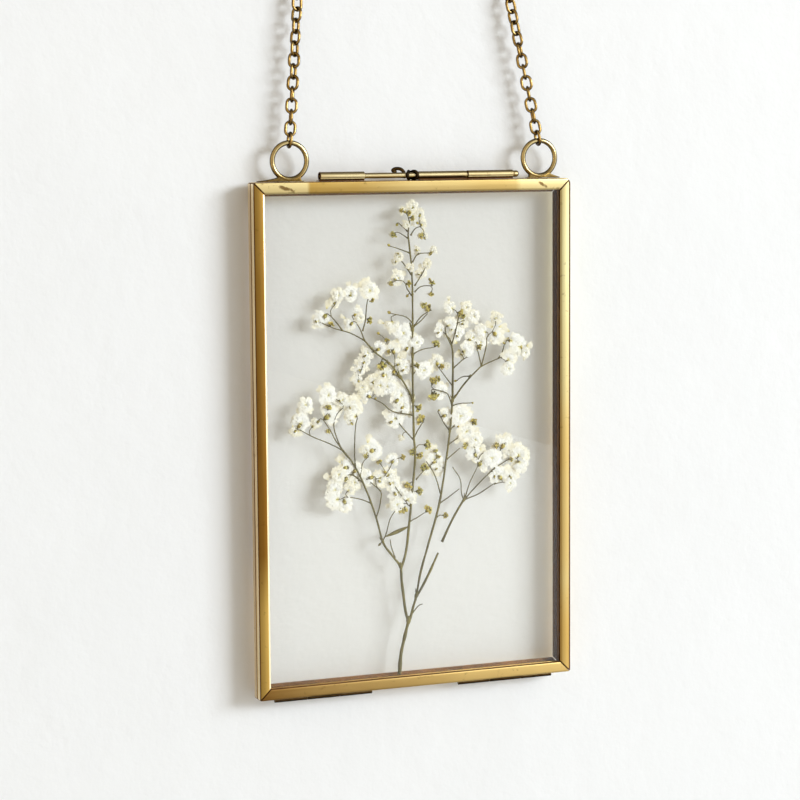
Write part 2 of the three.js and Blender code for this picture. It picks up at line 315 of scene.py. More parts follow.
# Old brass: lengthways polish marks, brown tarnish in clouds and a few spots. The table of brownness along a
# rail, as (millimetres, brownness), is partly tarnish and partly painted reflection; the rim number sets how
# dark it turns towards its outline, which is painted shade; scuffs are the brown rubbed marks, as (X, Z,
# length, width, turn).
def agedBrass(name, bright, brown, grain, tarnish=(0.38, 0.72), rough=(0.2, 0.34), cloud=28.0, worn=None,
              rim=0.0, scuffs=()):
    n = newFinish(name)
    clouds = n.noise(cloud, 4.0, [0.35 if g < 1 else 1 for g in grain], 0.6)
    spots = n.noise(420.0, 3.0, rough=0.7)
    marks = n.noise(900.0, 2.0, grain)
    cloudy = n.ramp(clouds, (tarnish[0], 0.0), (tarnish[1], 1.0))
    if worn:
        upright = grain[2] < 1
        first, last = worn[0][0], worn[-1][0]
        low, high = (place(at, 0, at)[2 if upright else 0] for at in (first, last))
        run = n.range(n.axis("Z" if upright else "X"), 0.0, 1.0, low, high)
        by = n.ramp(run, *[((at - first) / (last - first), level) for at, level in worn])
        cloudy = n.math("ADD", n.math("MULTIPLY", cloudy, 0.5), n.math("SUBTRACT", by, 0.2))
        cloudy = n.new("Clamp", {"Value": cloudy}).outputs[0]
    colour = n.mix(cloudy, bright, brown)
    speck = n.ramp(spots, (0.62, 0.0), (0.74, 0.55))
    colour = n.mix(speck, colour, [c * 0.42 for c in brown])
    colour = n.mix(n.range(marks, 0.0, 0.22), colour, [c * 0.6 for c in bright])
    for x, z, long, wide, tilt in scuffs:
        inputs = {"Vector": n.new("TexCoord").outputs["Object"], "Location": place(x, -2.8, z),
                  "Rotation": (0, math.radians(tilt), 0), "Scale": (long * mm, 2 * mm, wide * mm)}
        spot = n.new("Mapping", inputs, vector_type="TEXTURE").outputs[0]
        ragged = n.range(n.noise(700.0, 3.0), -0.5, 0.5, 0.3, 0.7)
        far = n.math("ADD", n.new("VectorMath", {0: spot}, operation="LENGTH").outputs["Value"], ragged)
        colour = n.mix(n.ramp(far, (0.45, 0.85), (1.0, 0.0)), colour, (0.16, 0.07, 0.012))
    # Darker towards the outline, where the surface turns away from view: painted shade.
    if rim:
        outline = n.new("LayerWeight", {"Blend": 0.5}).outputs["Facing"]
        colour = n.mix(n.ramp(outline, (0.07, 0.0), (0.3, rim)), colour, [c * 0.14 for c in brown])
    roughness = n.math("ADD", n.range(clouds, *rough), n.range(marks, -0.05, 0.09))
    height = n.math("ADD", n.range(marks, 0, 0.6), n.range(spots, 0, 0.5))
    relief = n.bump(height, 0.00002, 0.55)
    return n.finish(Base_Color=colour, Metallic=1.0, Roughness=roughness, Normal=relief)


alongX, alongZ, evenly = (0.03, 1, 1), (1, 1, 0.03), (1, 1, 1)
# Brownness along each rail, and the darker left rail and brighter right rail, are partly tarnish and partly
# painted reflection: how much light each part reflects is painted into its colour.
topTarnishAndReflection = ((-53, 0.1), (-36, 0.12), (-35, 1.0), (-20, 0.95), (0, 0.6), (30, 0.65), (34, 0.6), (36, 0.12),
           (53, 0.1))
bottomTarnishAndReflection = ((-53, 0.9), (-20, 0.55), (15, 0.2), (40, 0.1), (53, 0.0))
rightTarnishAndReflection = ((0, 0.85), (30, 0.5), (80, 0.65), (118, 0.1), (135, 0.1), (160, 0.3))
leftTarnishAndReflection = ((0, 0.3), (28, 0.1), (48, 0.95), (70, 0.85), (110, 0.75), (160, 0.5))
# Browner towards the ring's foot by the rail, paler above.
ringBrownByHeight = ((159, 1.1), (161.6, 0.9), (163.4, 0.25), (176, 0.1))
brassTop = agedBrass("agedBrassTop", (0.92, 0.74, 0.35), (0.53, 0.31, 0.055), alongX, rough=(0.28, 0.38),
                     worn=topTarnishAndReflection, scuffs=((-43.0, 158.1, 2.9, 0.62, 16), (43.0, 158.4, 2.2, 0.6, 34)))
brassBottom = agedBrass("agedBrassBottom", (0.98, 0.7, 0.26), (0.25, 0.09, 0.005), alongX, rough=(0.24, 0.34),
                        worn=bottomTarnishAndReflection)
brassRightWithSheen = agedBrass("agedBrassRightSheen", (0.99, 0.88, 0.46), (0.78, 0.45, 0.085), alongZ, rough=(0.26, 0.36),
                       worn=rightTarnishAndReflection)
brassLeftWithShade = agedBrass("agedBrassLeftShaded", (0.76, 0.49, 0.125), (0.3, 0.13, 0.015), alongZ, (0.3, 0.62),
                      (0.24, 0.36), worn=leftTarnishAndReflection)
# Tarnish, and painted shade on the channel's insides and on the lip edges that face the opening; also the
# mitred ends.
edgeTarnishAndShade = agedBrass("tarnishedEdgeAndShade", (0.27, 0.12, 0.03), (0.1, 0.04, 0.01), evenly, (0.3, 0.7), (0.4, 0.55),
                      90.0)
# The left rail's outer side and rolled inner edge: a brighter copy with a painted highlight on the front half,
# a darker copy with painted shade on the back half.
litAndShadedSides = {
    -1: agedBrass("paintedSheenSideFront", (1.0, 0.86, 0.56), (0.8, 0.56, 0.28), alongZ, (0.4, 0.8), (0.3, 0.4)),
    1: agedBrass("paintedShadeSideBack", (0.8, 0.66, 0.44), (0.6, 0.42, 0.22), alongZ, (0.4, 0.8), (0.3, 0.4)),
}
brassWire = agedBrass("brassWire", (1.0, 0.8, 0.4), (0.24, 0.14, 0.03), (1, 1, 0.99), (0.4, 0.75),
                      (0.16, 0.28), 160.0, ringBrownByHeight, 0.95)
brassSheet = agedBrass("brassSheet", (1.0, 0.83, 0.46), (0.6, 0.38, 0.11), alongX, (0.4, 0.8), (0.2, 0.32),
                       110.0, rim=0.95)
chainBrass = agedBrass("chainBrass", (0.95, 0.68, 0.26), (0.36, 0.19, 0.035), evenly, (0.32, 0.68),
                       (0.18, 0.3), 220.0, rim=1.0)
hookBrown = agedBrass("hookBrown", (0.16, 0.095, 0.035), (0.06, 0.032, 0.01), evenly, (0.35, 0.65),
                      (0.25, 0.4), 240.0, rim=1.0)
darkWire = agedBrass("darkWire", (0.12, 0.08, 0.04), (0.04, 0.026, 0.014), evenly, (0.3, 0.7), (0.35, 0.5),
                     300.0, rim=1.0)


# Dark dirt in patches along folds, seams and mitres, with painted shade where this finish is put into
# recesses, gaps and undersides.
def grimeAndShade(name, pale, deep):
    n = newFinish(name)
    patches = n.noise(300.0, 3.0)
    return n.finish(Base_Color=n.mix(patches, pale, deep), Roughness=0.62, Specular_IOR_Level=0.15,
                    Normal=n.bump(patches, 0.00003, 0.5))


# Painted shade with dirt: the dark corner lines, the parting gap, the upright rails' insides, and the barrels'
# ends and undersides.
paintedShadeAndGrime = grimeAndShade("paintedShadeAndGrime", (0.16, 0.06, 0.007), (0.07, 0.026, 0.004))


# Clear window glass. Light from the lamps passes straight through, a little weakened.
def clearGlass(name):
    n = newFinish(name)
    film = n.range(n.noise(35.0, 4.0, rough=0.6), 0.0, 0.03, 0.45, 0.8)
    glass = n.principled(Base_Color=(0.998, 1.0, 0.99, 1), Transmission_Weight=1.0, IOR=1.46, Roughness=film)
    passing = n.clear((0.968, 0.965, 0.957))
    path = n.new("LightPath").outputs
    return n.end(n.either(path["Is Shadow Ray"], n.either(path["Is Diffuse Ray"], glass, passing), passing))


def stalkFinish(name, pale, deep):
    n = newFinish(name)
    streaks = n.noise(1600.0, 3.0, (1, 1, 0.12))
    patches = n.noise(120.0, 3.0)
    colour = n.mix(n.range(patches, 0, 1, 0.35, 0.68), pale, deep)
    colour = n.mix(n.range(streaks, 0, 0.55, 0.45, 0.7), colour, [c * 0.45 for c in deep])
    return n.finish(Base_Color=colour, Roughness=0.78, Normal=n.bump(streaks, 0.00006, 0.7))


# Petals run from cream at their foot to white at the rim, with fine veins, and let much of the light through.
def petalFinish(name):
    n = newFinish(name)
    along, tone = n.attribute("along"), n.attribute("tone")
    veins = n.noise(2600.0, 2.0, rough=0.6)
    colour = n.ramp(along, (0.0, (0.46, 0.42, 0.12)), (0.12, (0.84, 0.79, 0.46)), (0.3, (0.9, 0.885, 0.76)),
                    (0.5, (0.92, 0.917, 0.885)))
    colour = n.mix(n.range(tone, 0.0, 0.8, 0.2), colour, (0.95, 0.915, 0.79), "MULTIPLY")
    colour = n.mix(n.range(veins, 0, 0.2, 0.5, 0.8), colour, (0.92, 0.87, 0.72), "MULTIPLY")
    surface = n.principled(Base_Color=colour, Roughness=0.7, Normal=n.bump(veins, 0.00003, 0.3))
    sheet = n.either(0.27, surface, n.new("BsdfTranslucent", {"Color": colour}).outputs[0])
    shade = n.either(0.95, sheet, n.clear((1.0, 0.99, 0.965)))
    return n.end(n.either(n.new("LightPath").outputs["Is Shadow Ray"], sheet, shade))


def budFinish(name):
    n = newFinish(name)
    along, tone = n.attribute("along"), n.attribute("tone")
    green = n.ramp(along, (0.0, (0.07, 0.065, 0.014)), (0.3, (0.25, 0.23, 0.025)), (0.7, (0.48, 0.43, 0.08)),
                   (1.0, (0.68, 0.62, 0.3)))
    golden = n.ramp(along, (0.0, (0.12, 0.085, 0.015)), (0.35, (0.48, 0.34, 0.03)), (0.75, (0.66, 0.53, 0.1)),
                    (1.0, (0.74, 0.66, 0.32)))
    blotches = n.noise(1500.0, 3.0)
    colour = n.mix(tone, green, golden)
    colour = n.mix(n.range(blotches, 0, 0.85, 0.46, 0.66), colour, (0.3, 0.22, 0.1), "MULTIPLY")
    return n.finish(Base_Color=colour, Roughness=0.66, Normal=n.bump(blotches, 0.00012, 0.6))


paneGlass = clearGlass("paneGlass")
stemBrown = stalkFinish("stemOlive", (0.2, 0.165, 0.036), (0.082, 0.068, 0.016))
twigBrown = stalkFinish("twigOlive", (0.155, 0.125, 0.026), (0.075, 0.06, 0.013))
forkGold = stalkFinish("forkOlive", (0.24, 0.2, 0.045), (0.1, 0.083, 0.02))
petalWhite = petalFinish("petalWhite")
budGold = budFinish("budGold")
print("finishes made")


rings = {"left": -40.0, "right": 44.2}
ringWire = {"radius": 5.57, "wire": 0.8, "depth": 1.7, "stand": 160.1, "middle": 166.39, "around": 72,
            "sides": 18}
endRings = {"left": -32.304, "right": 36.504, "y": 12.1, "z": 229.87, "radius": 3.9, "wire": 0.6,
            "around": 48, "sides": 14}
chain = {"links": 16, "wire": 0.47, "width": 3.9, "length": 5.3, "gap": 0.06, "swing": 13.0, "lean": 0.04,
         "bend": 10, "sides": 10, "stations": 28, "seeds": {"left": 41, "right": 42}}


# One chain link: two straight sides with round ends.
def linkLoop(centre, along, across):
    reach = chain["length"] / 2 - chain["wire"]
    bend = chain["width"] / 2 - chain["wire"]
    line = []
    for end in (1, -1):
        for k in range(chain["bend"] + 1):
            angle = math.pi * k / chain["bend"]
            line.append(centre + along * (end * (reach - bend + bend * math.sin(angle)))
                        + across * (end * bend * math.cos(angle)))
    return line


for side, x in rings.items():
    random.seed(chain["seeds"][side])
    slack = chain["gap"] + chain["wire"]
    ringTop = ringWire["middle"] + ringWire["radius"] - ringWire["wire"]
    endFoot = endRings["z"] - endRings["radius"] + endRings["wire"]
    start = Vector((x, ringWire["depth"], ringTop - slack))
    end = Vector((endRings[side], endRings["y"], endFoot + slack))
    run = (end - start).normalized()
    reach = chain["length"] / 2 - chain["wire"]
    first, last = start + run * reach, end - run * reach
    facing = run.cross(Vector((0, 1, 0))).normalized()
    ahead = facing.cross(run).normalized()
    shape = Shape()
    for i in range(chain["links"]):
        share = i / (chain["links"] - 1)
        swing = math.radians(random.uniform(-1, 1) * chain["swing"]) * math.sin(math.pi * share)
        angle = math.pi / 2 * (i % 2 + share + 1) + swing
        across = facing * math.cos(angle) + ahead * math.sin(angle)
        lean = across * random.uniform(-chain["lean"], chain["lean"])
        loop = linkLoop(first.lerp(last, share), (run + lean).normalized(), across)
        shape.add(*sweep(loop, chain["wire"], chain["sides"], up=run.cross(across), loop=True))
    links = shape.piece(f"{side}ChainLinks", "back_half", "chain_brass", [chainBrass], [f"chain_{side}"])
    circleLine = hoop((endRings[side], endRings["y"], endRings["z"]), endRings["radius"], endRings["around"])
    ringShape = Shape().add(*sweep(circleLine, endRings["wire"], endRings["sides"], loop=True))
    endRing = ringShape.piece(f"{side}EndRing", "back_half", "brass", [brassWire], [f"hang_ring_{side}"])
print("chains hung")


stage = {"wall": 5.0, "nail": 14.6, "bend": (150.0, 232.0), "rows": 48, "floor": -0.62, "size": 3.2,
         "reach": 12.0}


def plaster(name, tone, see=False):
    n = newFinish(name)
    rough = n.noise(18.0, 6.0, rough=0.62)
    fine = n.noise(160.0, 4.0, rough=0.6)
    colour = n.mix(n.range(rough, 0, 1, 0.35, 0.7), tone, [c * 0.985 for c in tone])
    height = n.math("ADD", rough, n.math("MULTIPLY", fine, 0.18))
    surface = n.principled(Base_Color=colour, Roughness=0.9, Specular_IOR_Level=0.2,
                           Normal=n.bump(height, 0.0022, 0.35))
    if see:
        surface = n.either(n.new("NewGeometry").outputs["Backfacing"], surface, n.clear())
    return n.end(surface)


def stageSheet(name, rows, material):
    verts = [(x, y, z) for y, z in rows for x in (-stage["size"] / 2, stage["size"] / 2)]
    mesh = bpy.data.meshes.new(name)
    mesh.from_pydata(verts, [], [[i, i + 1, i + 3, i + 2] for i in range(0, len(verts) - 2, 2)])
    mesh.materials.append(material)
    mesh.shade_smooth()
    sheet = bpy.data.objects.new(name, mesh)
    scene.collection.objects.link(sheet)
    return sheet


# The wall lies close behind the frame and bends back above it, where the chains run back to their nail.
low, high = stage["bend"]
wallRows = [(place(0, stage["wall"], 0).y, stage["floor"])]
for k in range(stage["rows"] + 1):
    t = k / stage["rows"]
    gap = stage["wall"] + (stage["nail"] - stage["wall"]) * t * t * (3 - 2 * t)
    spot = place(0, gap, low + (high - low) * t)
    wallRows.append((spot.y, spot.z))
wallRows.append((wallRows[-1][0], stage["size"] / 2))
wall = stageSheet("wall", wallRows, plaster("wallPlaster", (0.86, 0.86, 0.855), True))
wall.visible_shadow = False
floorRows = [(wallRows[0][0] - stage["reach"], stage["floor"]), wallRows[0]]
floor = stageSheet("floor", floorRows, plaster("floorPaint", (0.82, 0.82, 0.81)))
floor.visible_glossy = False  # its far edge would show as a line in the panes

lamps = {
    "key": {"azimuth": 50.0, "elevation": 16.0, "away": 4.0, "size": (2.0, 1.3), "power": 138.0,
            "colour": (0.84, 0.915, 1.0)},
    "rear": {"azimuth": 205.0, "elevation": -4.0, "away": 1.6, "size": (1.2, 1.2), "power": 2.5,
             "colour": (1.0, 1.0, 1.0)},
}
aim = place(0, 0, 85)
for name, lamp in lamps.items():
    data = bpy.data.lights.new(name, "AREA")
    data.shape = "RECTANGLE"
    data.size, data.size_y = lamp["size"]
    data.energy = lamp["power"]
    data.color = lamp["colour"]
    light = bpy.data.objects.new(name, data)
    away = direction(lamp["azimuth"], lamp["elevation"])
    light.location = aim + away * lamp["away"]
    light.rotation_euler = away.to_track_quat("Z", "Y").to_euler()
    scene.collection.objects.link(light)

# The room: from its left side to its bright right side, and its floor, which is lighter than its far wall.
roomAcross = ((0.0, (0.41, 0.33, 0.22)), (0.4, (0.31, 0.255, 0.175)), (0.58, (0.22, 0.205, 0.17)),
              (0.65, (0.3, 0.285, 0.25)), (0.72, (0.68, 0.67, 0.64)), (0.82, (0.98, 0.97, 0.93)),
              (1.0, (0.6, 0.6, 0.58)))
roomUpward = ((0.0, 0.55), (0.17, 0.9), (0.28, 1.85), (0.36, 1.8), (0.46, 1.0), (0.56, 0.95), (0.69, 1.3),
              (0.88, 1.45), (1.0, 1.2))
world = bpy.data.worlds.new("studio")
scene.world = world
sky = Nodes(world, "OutputWorld")
across = sky.ramp(sky.range(sky.axis("X", "Generated"), 0.0, 1.0, -1.0, 1.0), *roomAcross)
upward = sky.ramp(sky.range(sky.axis("Z", "Generated"), 0.0, 1.0, -0.5, 0.3), *roomUpward)
sky.end(sky.new("Background", {"Color": sky.mix(1.0, across, upward, "MULTIPLY")}).outputs[0])
print("wall, floor and light set")


channel = {
    "width": 106.5, "height": 160.0, "gap": 0.15, "depth": 2.65, "web": 0.6, "outerLip": 0.5,
    "innerLip": 0.45, "innerReach": 3.4, "outerReach": {-1: 3.6, 1: 4.3}, "roll": 0.55, "fall": 0.19,
    "edgeFall": 0.04, "mitre": 0.21,
    "ends": (0.0, 0.14, 0.5, 0.9, 1.4, 2.0), "margin": 0.8, "steps": 26,
    "crown": ((0.9, 0.05), (1.75, 0.07), (2.5, 0.05)), "seam": 0.3,
    "bends": (0.1, 0.1, 0.15, 0.15, 0.1, 0.1, 0.04, 0.12, 0.3, 0.3, 0.3, 0.34), "bendSteps": 4,
    "wobble": 0.035, "wave": 0.03, "soft": 0.6, "softest": 1.8,
    "corners": {"left": 0.45, "right": 0.5, "top": 0.14, "bottom": 0.0}, "cornerDepth": 0.3,
}
hair = 0.05  # the play that the middle of a face is given when it is compared with a section's lines
railFinish = {"left": brassLeftWithShade, "right": brassRightWithSheen, "top": brassTop, "bottom": brassBottom}


# Rounds the frame's outer corners, the one at the top right most of all.
def softCorner(x, y, z):
    wide, tall = channel["width"] / 2, channel["height"]
    radius = channel["softest"] if x > 0 and z > tall / 2 else channel["soft"]
    centre = Vector((math.copysign(wide - radius, x), tall - radius if z > tall / 2 else radius))
    out = Vector((x, z)) - centre
    if out.x * x > 0 and out.y * (z - tall / 2) > 0:
        reach = max(abs(out.x), abs(out.y))
        out *= reach / out.length
    return centre.x + out.x, y, centre.y + out.y


def railSection(half):
    near, far = channel["gap"], channel["gap"] + channel["depth"]
    inner, outer = near + channel["innerLip"], far - channel["outerLip"]
    short, face, web = channel["innerReach"], channel["outerReach"][half], channel["web"]
    roll, fall, edgeFall = channel["roll"], channel["fall"], channel["edgeFall"]
    lifted = channel["crown"][0][1]
    crown = [(inset, far + lift - lifted) for inset, lift in channel["crown"]]
    corners = [(0, near), (short, near), (short, inner), (web, inner), (web, outer), (face, outer),
               (face, far - fall), (face - roll / 2, far - (fall + edgeFall) / 2),
               (face - roll, far - edgeFall), *crown[::-1], (0, far - lifted)]
    return rounded(corners, (channel["seam"], *channel["bends"]), channel["bendSteps"])


# Which of a rail's four finishes a face takes, by the middle of its side of the section.
# Slot 2 is painted shade with dirt: the dark line along the face's outer corner, the bottom rail's rolled
# foot, the parting seam and the insides of the upright rails. Slot 1 is tarnish with painted shade on the
# channel's insides and the lip edges that face the opening, and also takes the mitred ends. Slot 3, used on
# the left rail only, is its outer side and rolled inner edge, with a painted highlight on the front half and
# painted shade on the back half.
def railSlot(half, edge, mid, atEnd):
    near, far = channel["gap"], channel["gap"] + channel["depth"]
    inner, outer = near + channel["innerLip"], far - channel["outerLip"]
    face, rolledFrom = channel["outerReach"][half], far - channel["fall"] - channel["edgeFall"]
    upright = edge in ("left", "right")
    inside = inner - hair < mid.y < outer + hair and mid.x > channel["web"] - hair
    lipEdge = mid.x > channel["innerReach"] - hair and mid.y < rolledFrom
    outline = mid.y > far - channel["cornerDepth"] and mid.x < channel["corners"][edge]
    foot = edge == "bottom" and mid.x > face - channel["roll"] / 2 - hair / 2 and mid.y > rolledFrom
    seam = mid.y < near + channel["seam"] * 0.8 and mid.x < hair
    if outline or foot or seam or upright and inside:
        return 2
    if edge == "bottom" and lipEdge and mid.y < outer:
        return 0
    if inside or lipEdge or atEnd:
        return 1
    rolled = mid.x > face - channel["roll"] + hair and mid.y > rolledFrom
    return 3 if edge == "left" and (mid.x < hair or rolled) else 0


def mitredRail(half, edge, order):
    section = railSection(half)
    size = len(section)
    long = (channel["height"] if edge in ("left", "right") else channel["width"]) / 2
    first = [-1 + d / long for d in channel["ends"]]
    free = -first[-1] - channel["margin"] / long
    shares = first + [free * (2 * step / channel["steps"] - 1) for step in range(channel["steps"] + 1)]
    shares += [-d for d in first[::-1]]
    steps = len(shares) - 1
    verts, faces, mats = [], [], []
    for share in shares:
        for inset, depth in section:
            spot = share * (long - inset - channel["mitre"])
            wave = noise.noise(Vector((spot * channel["wave"], order + half * 7, depth * 0.1)))
            fade = (1 - abs(share) ** 6) * (depth >= 1)
            y = half * (depth + wave * channel["wobble"] * fade)
            verts.append(softCorner(*{
                "left": (-channel["width"] / 2 + inset, y, channel["height"] / 2 + spot),
                "right": (channel["width"] / 2 - inset, y, channel["height"] / 2 + spot),
                "top": (spot, y, channel["height"] - inset),
                "bottom": (spot, y, inset),
            }[edge]))
    for step in range(steps):
        for k in range(size):
            a, b = step * size + k, step * size + (k + 1) % size
            faces.append([a, b, b + size, a + size])
            middle = (section[k] + section[(k + 1) % size]) / 2
            mats.append(railSlot(half, edge, middle, step in (0, steps - 1)))
    ends = tessellate_polygon([[p.to_3d() for p in section]])
    faces += [list(tri)[::-1] for tri in ends] + [[steps * size + i for i in tri] for tri in ends]
    mats += [1] * 2 * len(ends)
    side = "front" if half < 0 else "back"
    Shape().add(verts, faces, mats).piece(
        side + edge.capitalize() + "Channel", side + "_half", "brass",
        [railFinish[edge], edgeTarnishAndShade, paintedShadeAndGrime, litAndShadedSides[half]], [f"{side}_rail_{edge}"], sharp=38)


for half in (-1, 1):
    for order, edge in enumerate(railFinish):
        mitredRail(half, edge, order)
for node in ("front_glass", "back_glass"):
    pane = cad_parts[node]
    pane.data.materials.clear()
    pane.data.materials.append(paneGlass)
print("channels and glass done")


ringFoot = {"inner": 4.7, "tail": {"left": 10.6, "right": 7.2}, "tailHeight": 0.26, "shoulder": (3.6, 1.5),
            "innerBend": (3.25, 0.12), "outerBend": (4.8, 0.85), "saddle": (1.2, 0.55), "curve": 8,
            "halfDepth": 0.7, "bevel": 0.18, "voxel": 0.1, "relax": 7}


# The braze under a ring: short towards the frame's middle, with a long low tail towards its corner.
def footOutline(side, x):
    def bent(start, middle, end, t):
        return start * (1 - t) ** 2 + middle * 2 * t * (1 - t) + end * t ** 2

    outward = -1 if side == "left" else 1
    mirror = Vector((-1, 1))
    tail, inner = Vector((ringFoot["tail"][side], ringFoot["tailHeight"])), Vector((-ringFoot["inner"], 0))
    shoulder, outerBend, innerBend = (Vector(ringFoot[key]) for key in ("shoulder", "outerBend", "innerBend"))
    curve = [k / ringFoot["curve"] for k in range(ringFoot["curve"] + 1)]
    low, rise = ringWire["wire"] * ringFoot["saddle"][0], shoulder.y * ringFoot["saddle"][1]
    line = [inner, Vector((tail.x, 0))]
    line += [bent(tail, outerBend, shoulder, t) for t in curve]
    line += [Vector((shoulder.x * c, low + rise * abs(c) ** 3)) for c in (0.5, 0, -0.5)]
    line += [bent(shoulder * mirror, innerBend * mirror, inner, t) for t in curve[:-1]]
    return [Vector((x + outward * p.x, ringWire["stand"] + p.y)) for p in line]


for side, x in rings.items():
    circleLine = hoop((x, ringWire["depth"], ringWire["middle"]), ringWire["radius"], ringWire["around"])
    shape = Shape().add(*sweep(circleLine, ringWire["wire"], ringWire["sides"], loop=True))
    deep = ringFoot["halfDepth"]
    verts, faces = extrudeX(footOutline(side, x), [], -deep, deep, ringFoot["bevel"])
    shape.add([(v[1], ringWire["depth"] + v[0], v[2]) for v in verts], faces)
    ring = shape.piece(f"{side}HangingRing", "back_half", "brass", [brassWire], [f"ring_{side}"])
    remesh = ring.modifiers.new("braze", "REMESH")  # runs the wire and its foot together like braze
    remesh.mode = "VOXEL"
    remesh.voxel_size = ringFoot["voxel"] * mm
    remesh.use_smooth_shade = True
    relax = ring.modifiers.new("relax", "SMOOTH")
    relax.factor, relax.iterations = 0.5, ringFoot["relax"]
    solid = bpy.data.meshes.new_from_object(ring.evaluated_get(bpy.context.evaluated_depsgraph_get()))
    ring.modifiers.clear()
    ring.data = solid
    solid.shade_smooth()
print("rings brazed")


closing = {"y": -0.3, "z": 161.6, "bore": 0.93, "leaf": 2.6, "strap": 0.2, "standOff": 0.1, "neck": 0.5,
           "bevel": 0.14, "leafTop": 160.5, "seam": 0.09, "seamAt": 0.45, "seamDeep": 0.12, "sides": 30}
barrels = {
    "a": {"from": -31.1, "to": -16.4, "radius": 1.35, "side": 1},
    "b": {"from": 1.4, "to": 18.0, "radius": 1.15, "side": -1},
    "c": {"from": 18.3, "to": 34.0, "radius": 1.25, "side": 1},
}


# A sheet wrapped round a bore, with its free edge showing as a seam, and the leaf that is soldered down.
# side is the half that the leaf lies on, up is 1 over a rail and -1 under it, near is the rail's face.
def wrappedLeaf(tube, radius, side, up, near):
    shoulder = math.asin(tube["neck"] / radius)
    outline = []
    for k in range(tube["sides"] + 1):
        angle = up * (shoulder - math.pi / 2 + (2 * math.pi - 2 * shoulder) * k / tube["sides"])
        size = radius
        if side * up * math.cos(angle) < 0 and abs(math.sin(angle) * up + closing["seamAt"]) < tube["seam"]:
            size -= closing["seamDeep"]
        outline.append(Vector((tube["y"] + size * math.cos(angle), tube["z"] + size * math.sin(angle))))
    neck, reach = up * tube["neck"], tube["y"] + side * closing["leaf"]
    first, second = (near, near + up * closing["strap"])[::side * up]
    outline += [Vector((tube["y"] - neck, first)), Vector((reach, first)), Vector((reach, second)),
                Vector((tube["y"] + neck, second))]
    return outline, circle((tube["y"], tube["z"]), tube["bore"], tube["sides"])


soldered = channel["height"] + closing["standOff"]
for key, barrel in barrels.items():
    outline, hole = wrappedLeaf(closing, barrel["radius"], barrel["side"], 1, soldered)
    verts, faces = extrudeX(outline, [hole], barrel["from"], barrel["to"], closing["bevel"])
    # Painted shade: the barrel's ends and the strap below the leaf's top, where the barrel shades it, take the
    # dark finish.
    shadedFaces = []
    for face in faces:
        middle = sum((Vector(verts[i]) for i in face), Vector()) / len(face)
        end = min(middle.x - barrel["from"], barrel["to"] - middle.x)
        shadedFaces.append(1 if end < closing["bevel"] or middle.z < closing["leafTop"] else 0)
    body = "back_half" if barrel["side"] > 0 else "front_half"
    Shape().add(verts, faces, shadedFaces).piece(f"{key}ClosingBarrel", body, "brass", [brassSheet, paintedShadeAndGrime],
                                           [f"closing_barrel_{key}"], sharp=35)

pin = {"from": -30.2, "to": 34.2, "radius": 0.87, "tip": ((0, 0.5), (0.2, 0.72), (0.45, 0.87)),
       "stations": 10, "straight": 63.9, "head": 1.0, "headLength": 1.9, "flange": (0.12, 0.1), "dome": 8,
       "sides": 28}
profile = [(pin["from"] + x, radius) for x, radius in pin["tip"]]
profile += [(profile[-1][0] + pin["straight"] * k / pin["stations"], pin["radius"])
            for k in range(1, pin["stations"] + 1)]
profile += [(pin["to"], pin["head"] - pin["flange"][0]), (pin["to"] + pin["flange"][1], pin["head"])]
profile += [(pin["to"] + pin["headLength"] * (0.5 + 0.5 * math.sin(a)), pin["head"] * math.cos(a) + 0.03)
            for a in (math.pi / 2 * k / pin["dome"] for k in range(pin["dome"] + 1))]
Shape().add(*turnedX(profile, closing["y"], closing["z"], pin["sides"])).piece(
    "closingPinRod", "pin", "brass", [brassSheet], ["closing_pin"], sharp=40)

tether = {
    "hook": ((-4.9, 162.85, 1.2), (-5.7, 162.8, 1.4), (-6.15, 163.15, 1.3), (-5.5, 163.55, 1.2),
             (-4.6, 163.65, 1.0), (-3.6, 163.4, 0.8), (-2.9, 162.75, 0.6), (-2.4, 161.7, 0.8),
             (-2.4, 160.8, 1.2)),
    "hookWire": 0.55, "hookSides": 12, "taper": 0.28, "links": {-1.45: 34.0, 0.3: -34.0}, "radius": 1.2,
    "wire": 0.5, "around": 36, "sides": 10,
}
hookLine = smoothLine([(x, y, z) for x, z, y in tether["hook"]], 4)
hookSizes = [tether["hookWire"] * (1 - tether["taper"] * (1 - min(1, i / 4))) for i in range(len(hookLine))]
Shape().add(*sweep(hookLine, hookSizes, tether["hookSides"])).piece(
    "tetherHook", "back_half", "dark_brass", [hookBrown], ["tether_eye"])
for n, (x, tilt) in enumerate(tether["links"].items(), 1):
    slant = math.tan(math.radians(tilt))
    loop = []
    for k in range(tether["around"]):
        a = 2 * math.pi * k / tether["around"]
        ahead, above = tether["radius"] * math.cos(a), tether["radius"] * math.sin(a)
        loop.append((x + ahead * slant, closing["y"] + ahead, closing["z"] + above))
    Shape().add(*sweep(loop, tether["wire"], tether["sides"], up=(1, -slant, 0), loop=True)).piece(
        f"tetherLink{n}", "back_half", "dark_brass", [darkWire], [f"tether_link_{n}"])
print("closing barrels, pin and tether done")


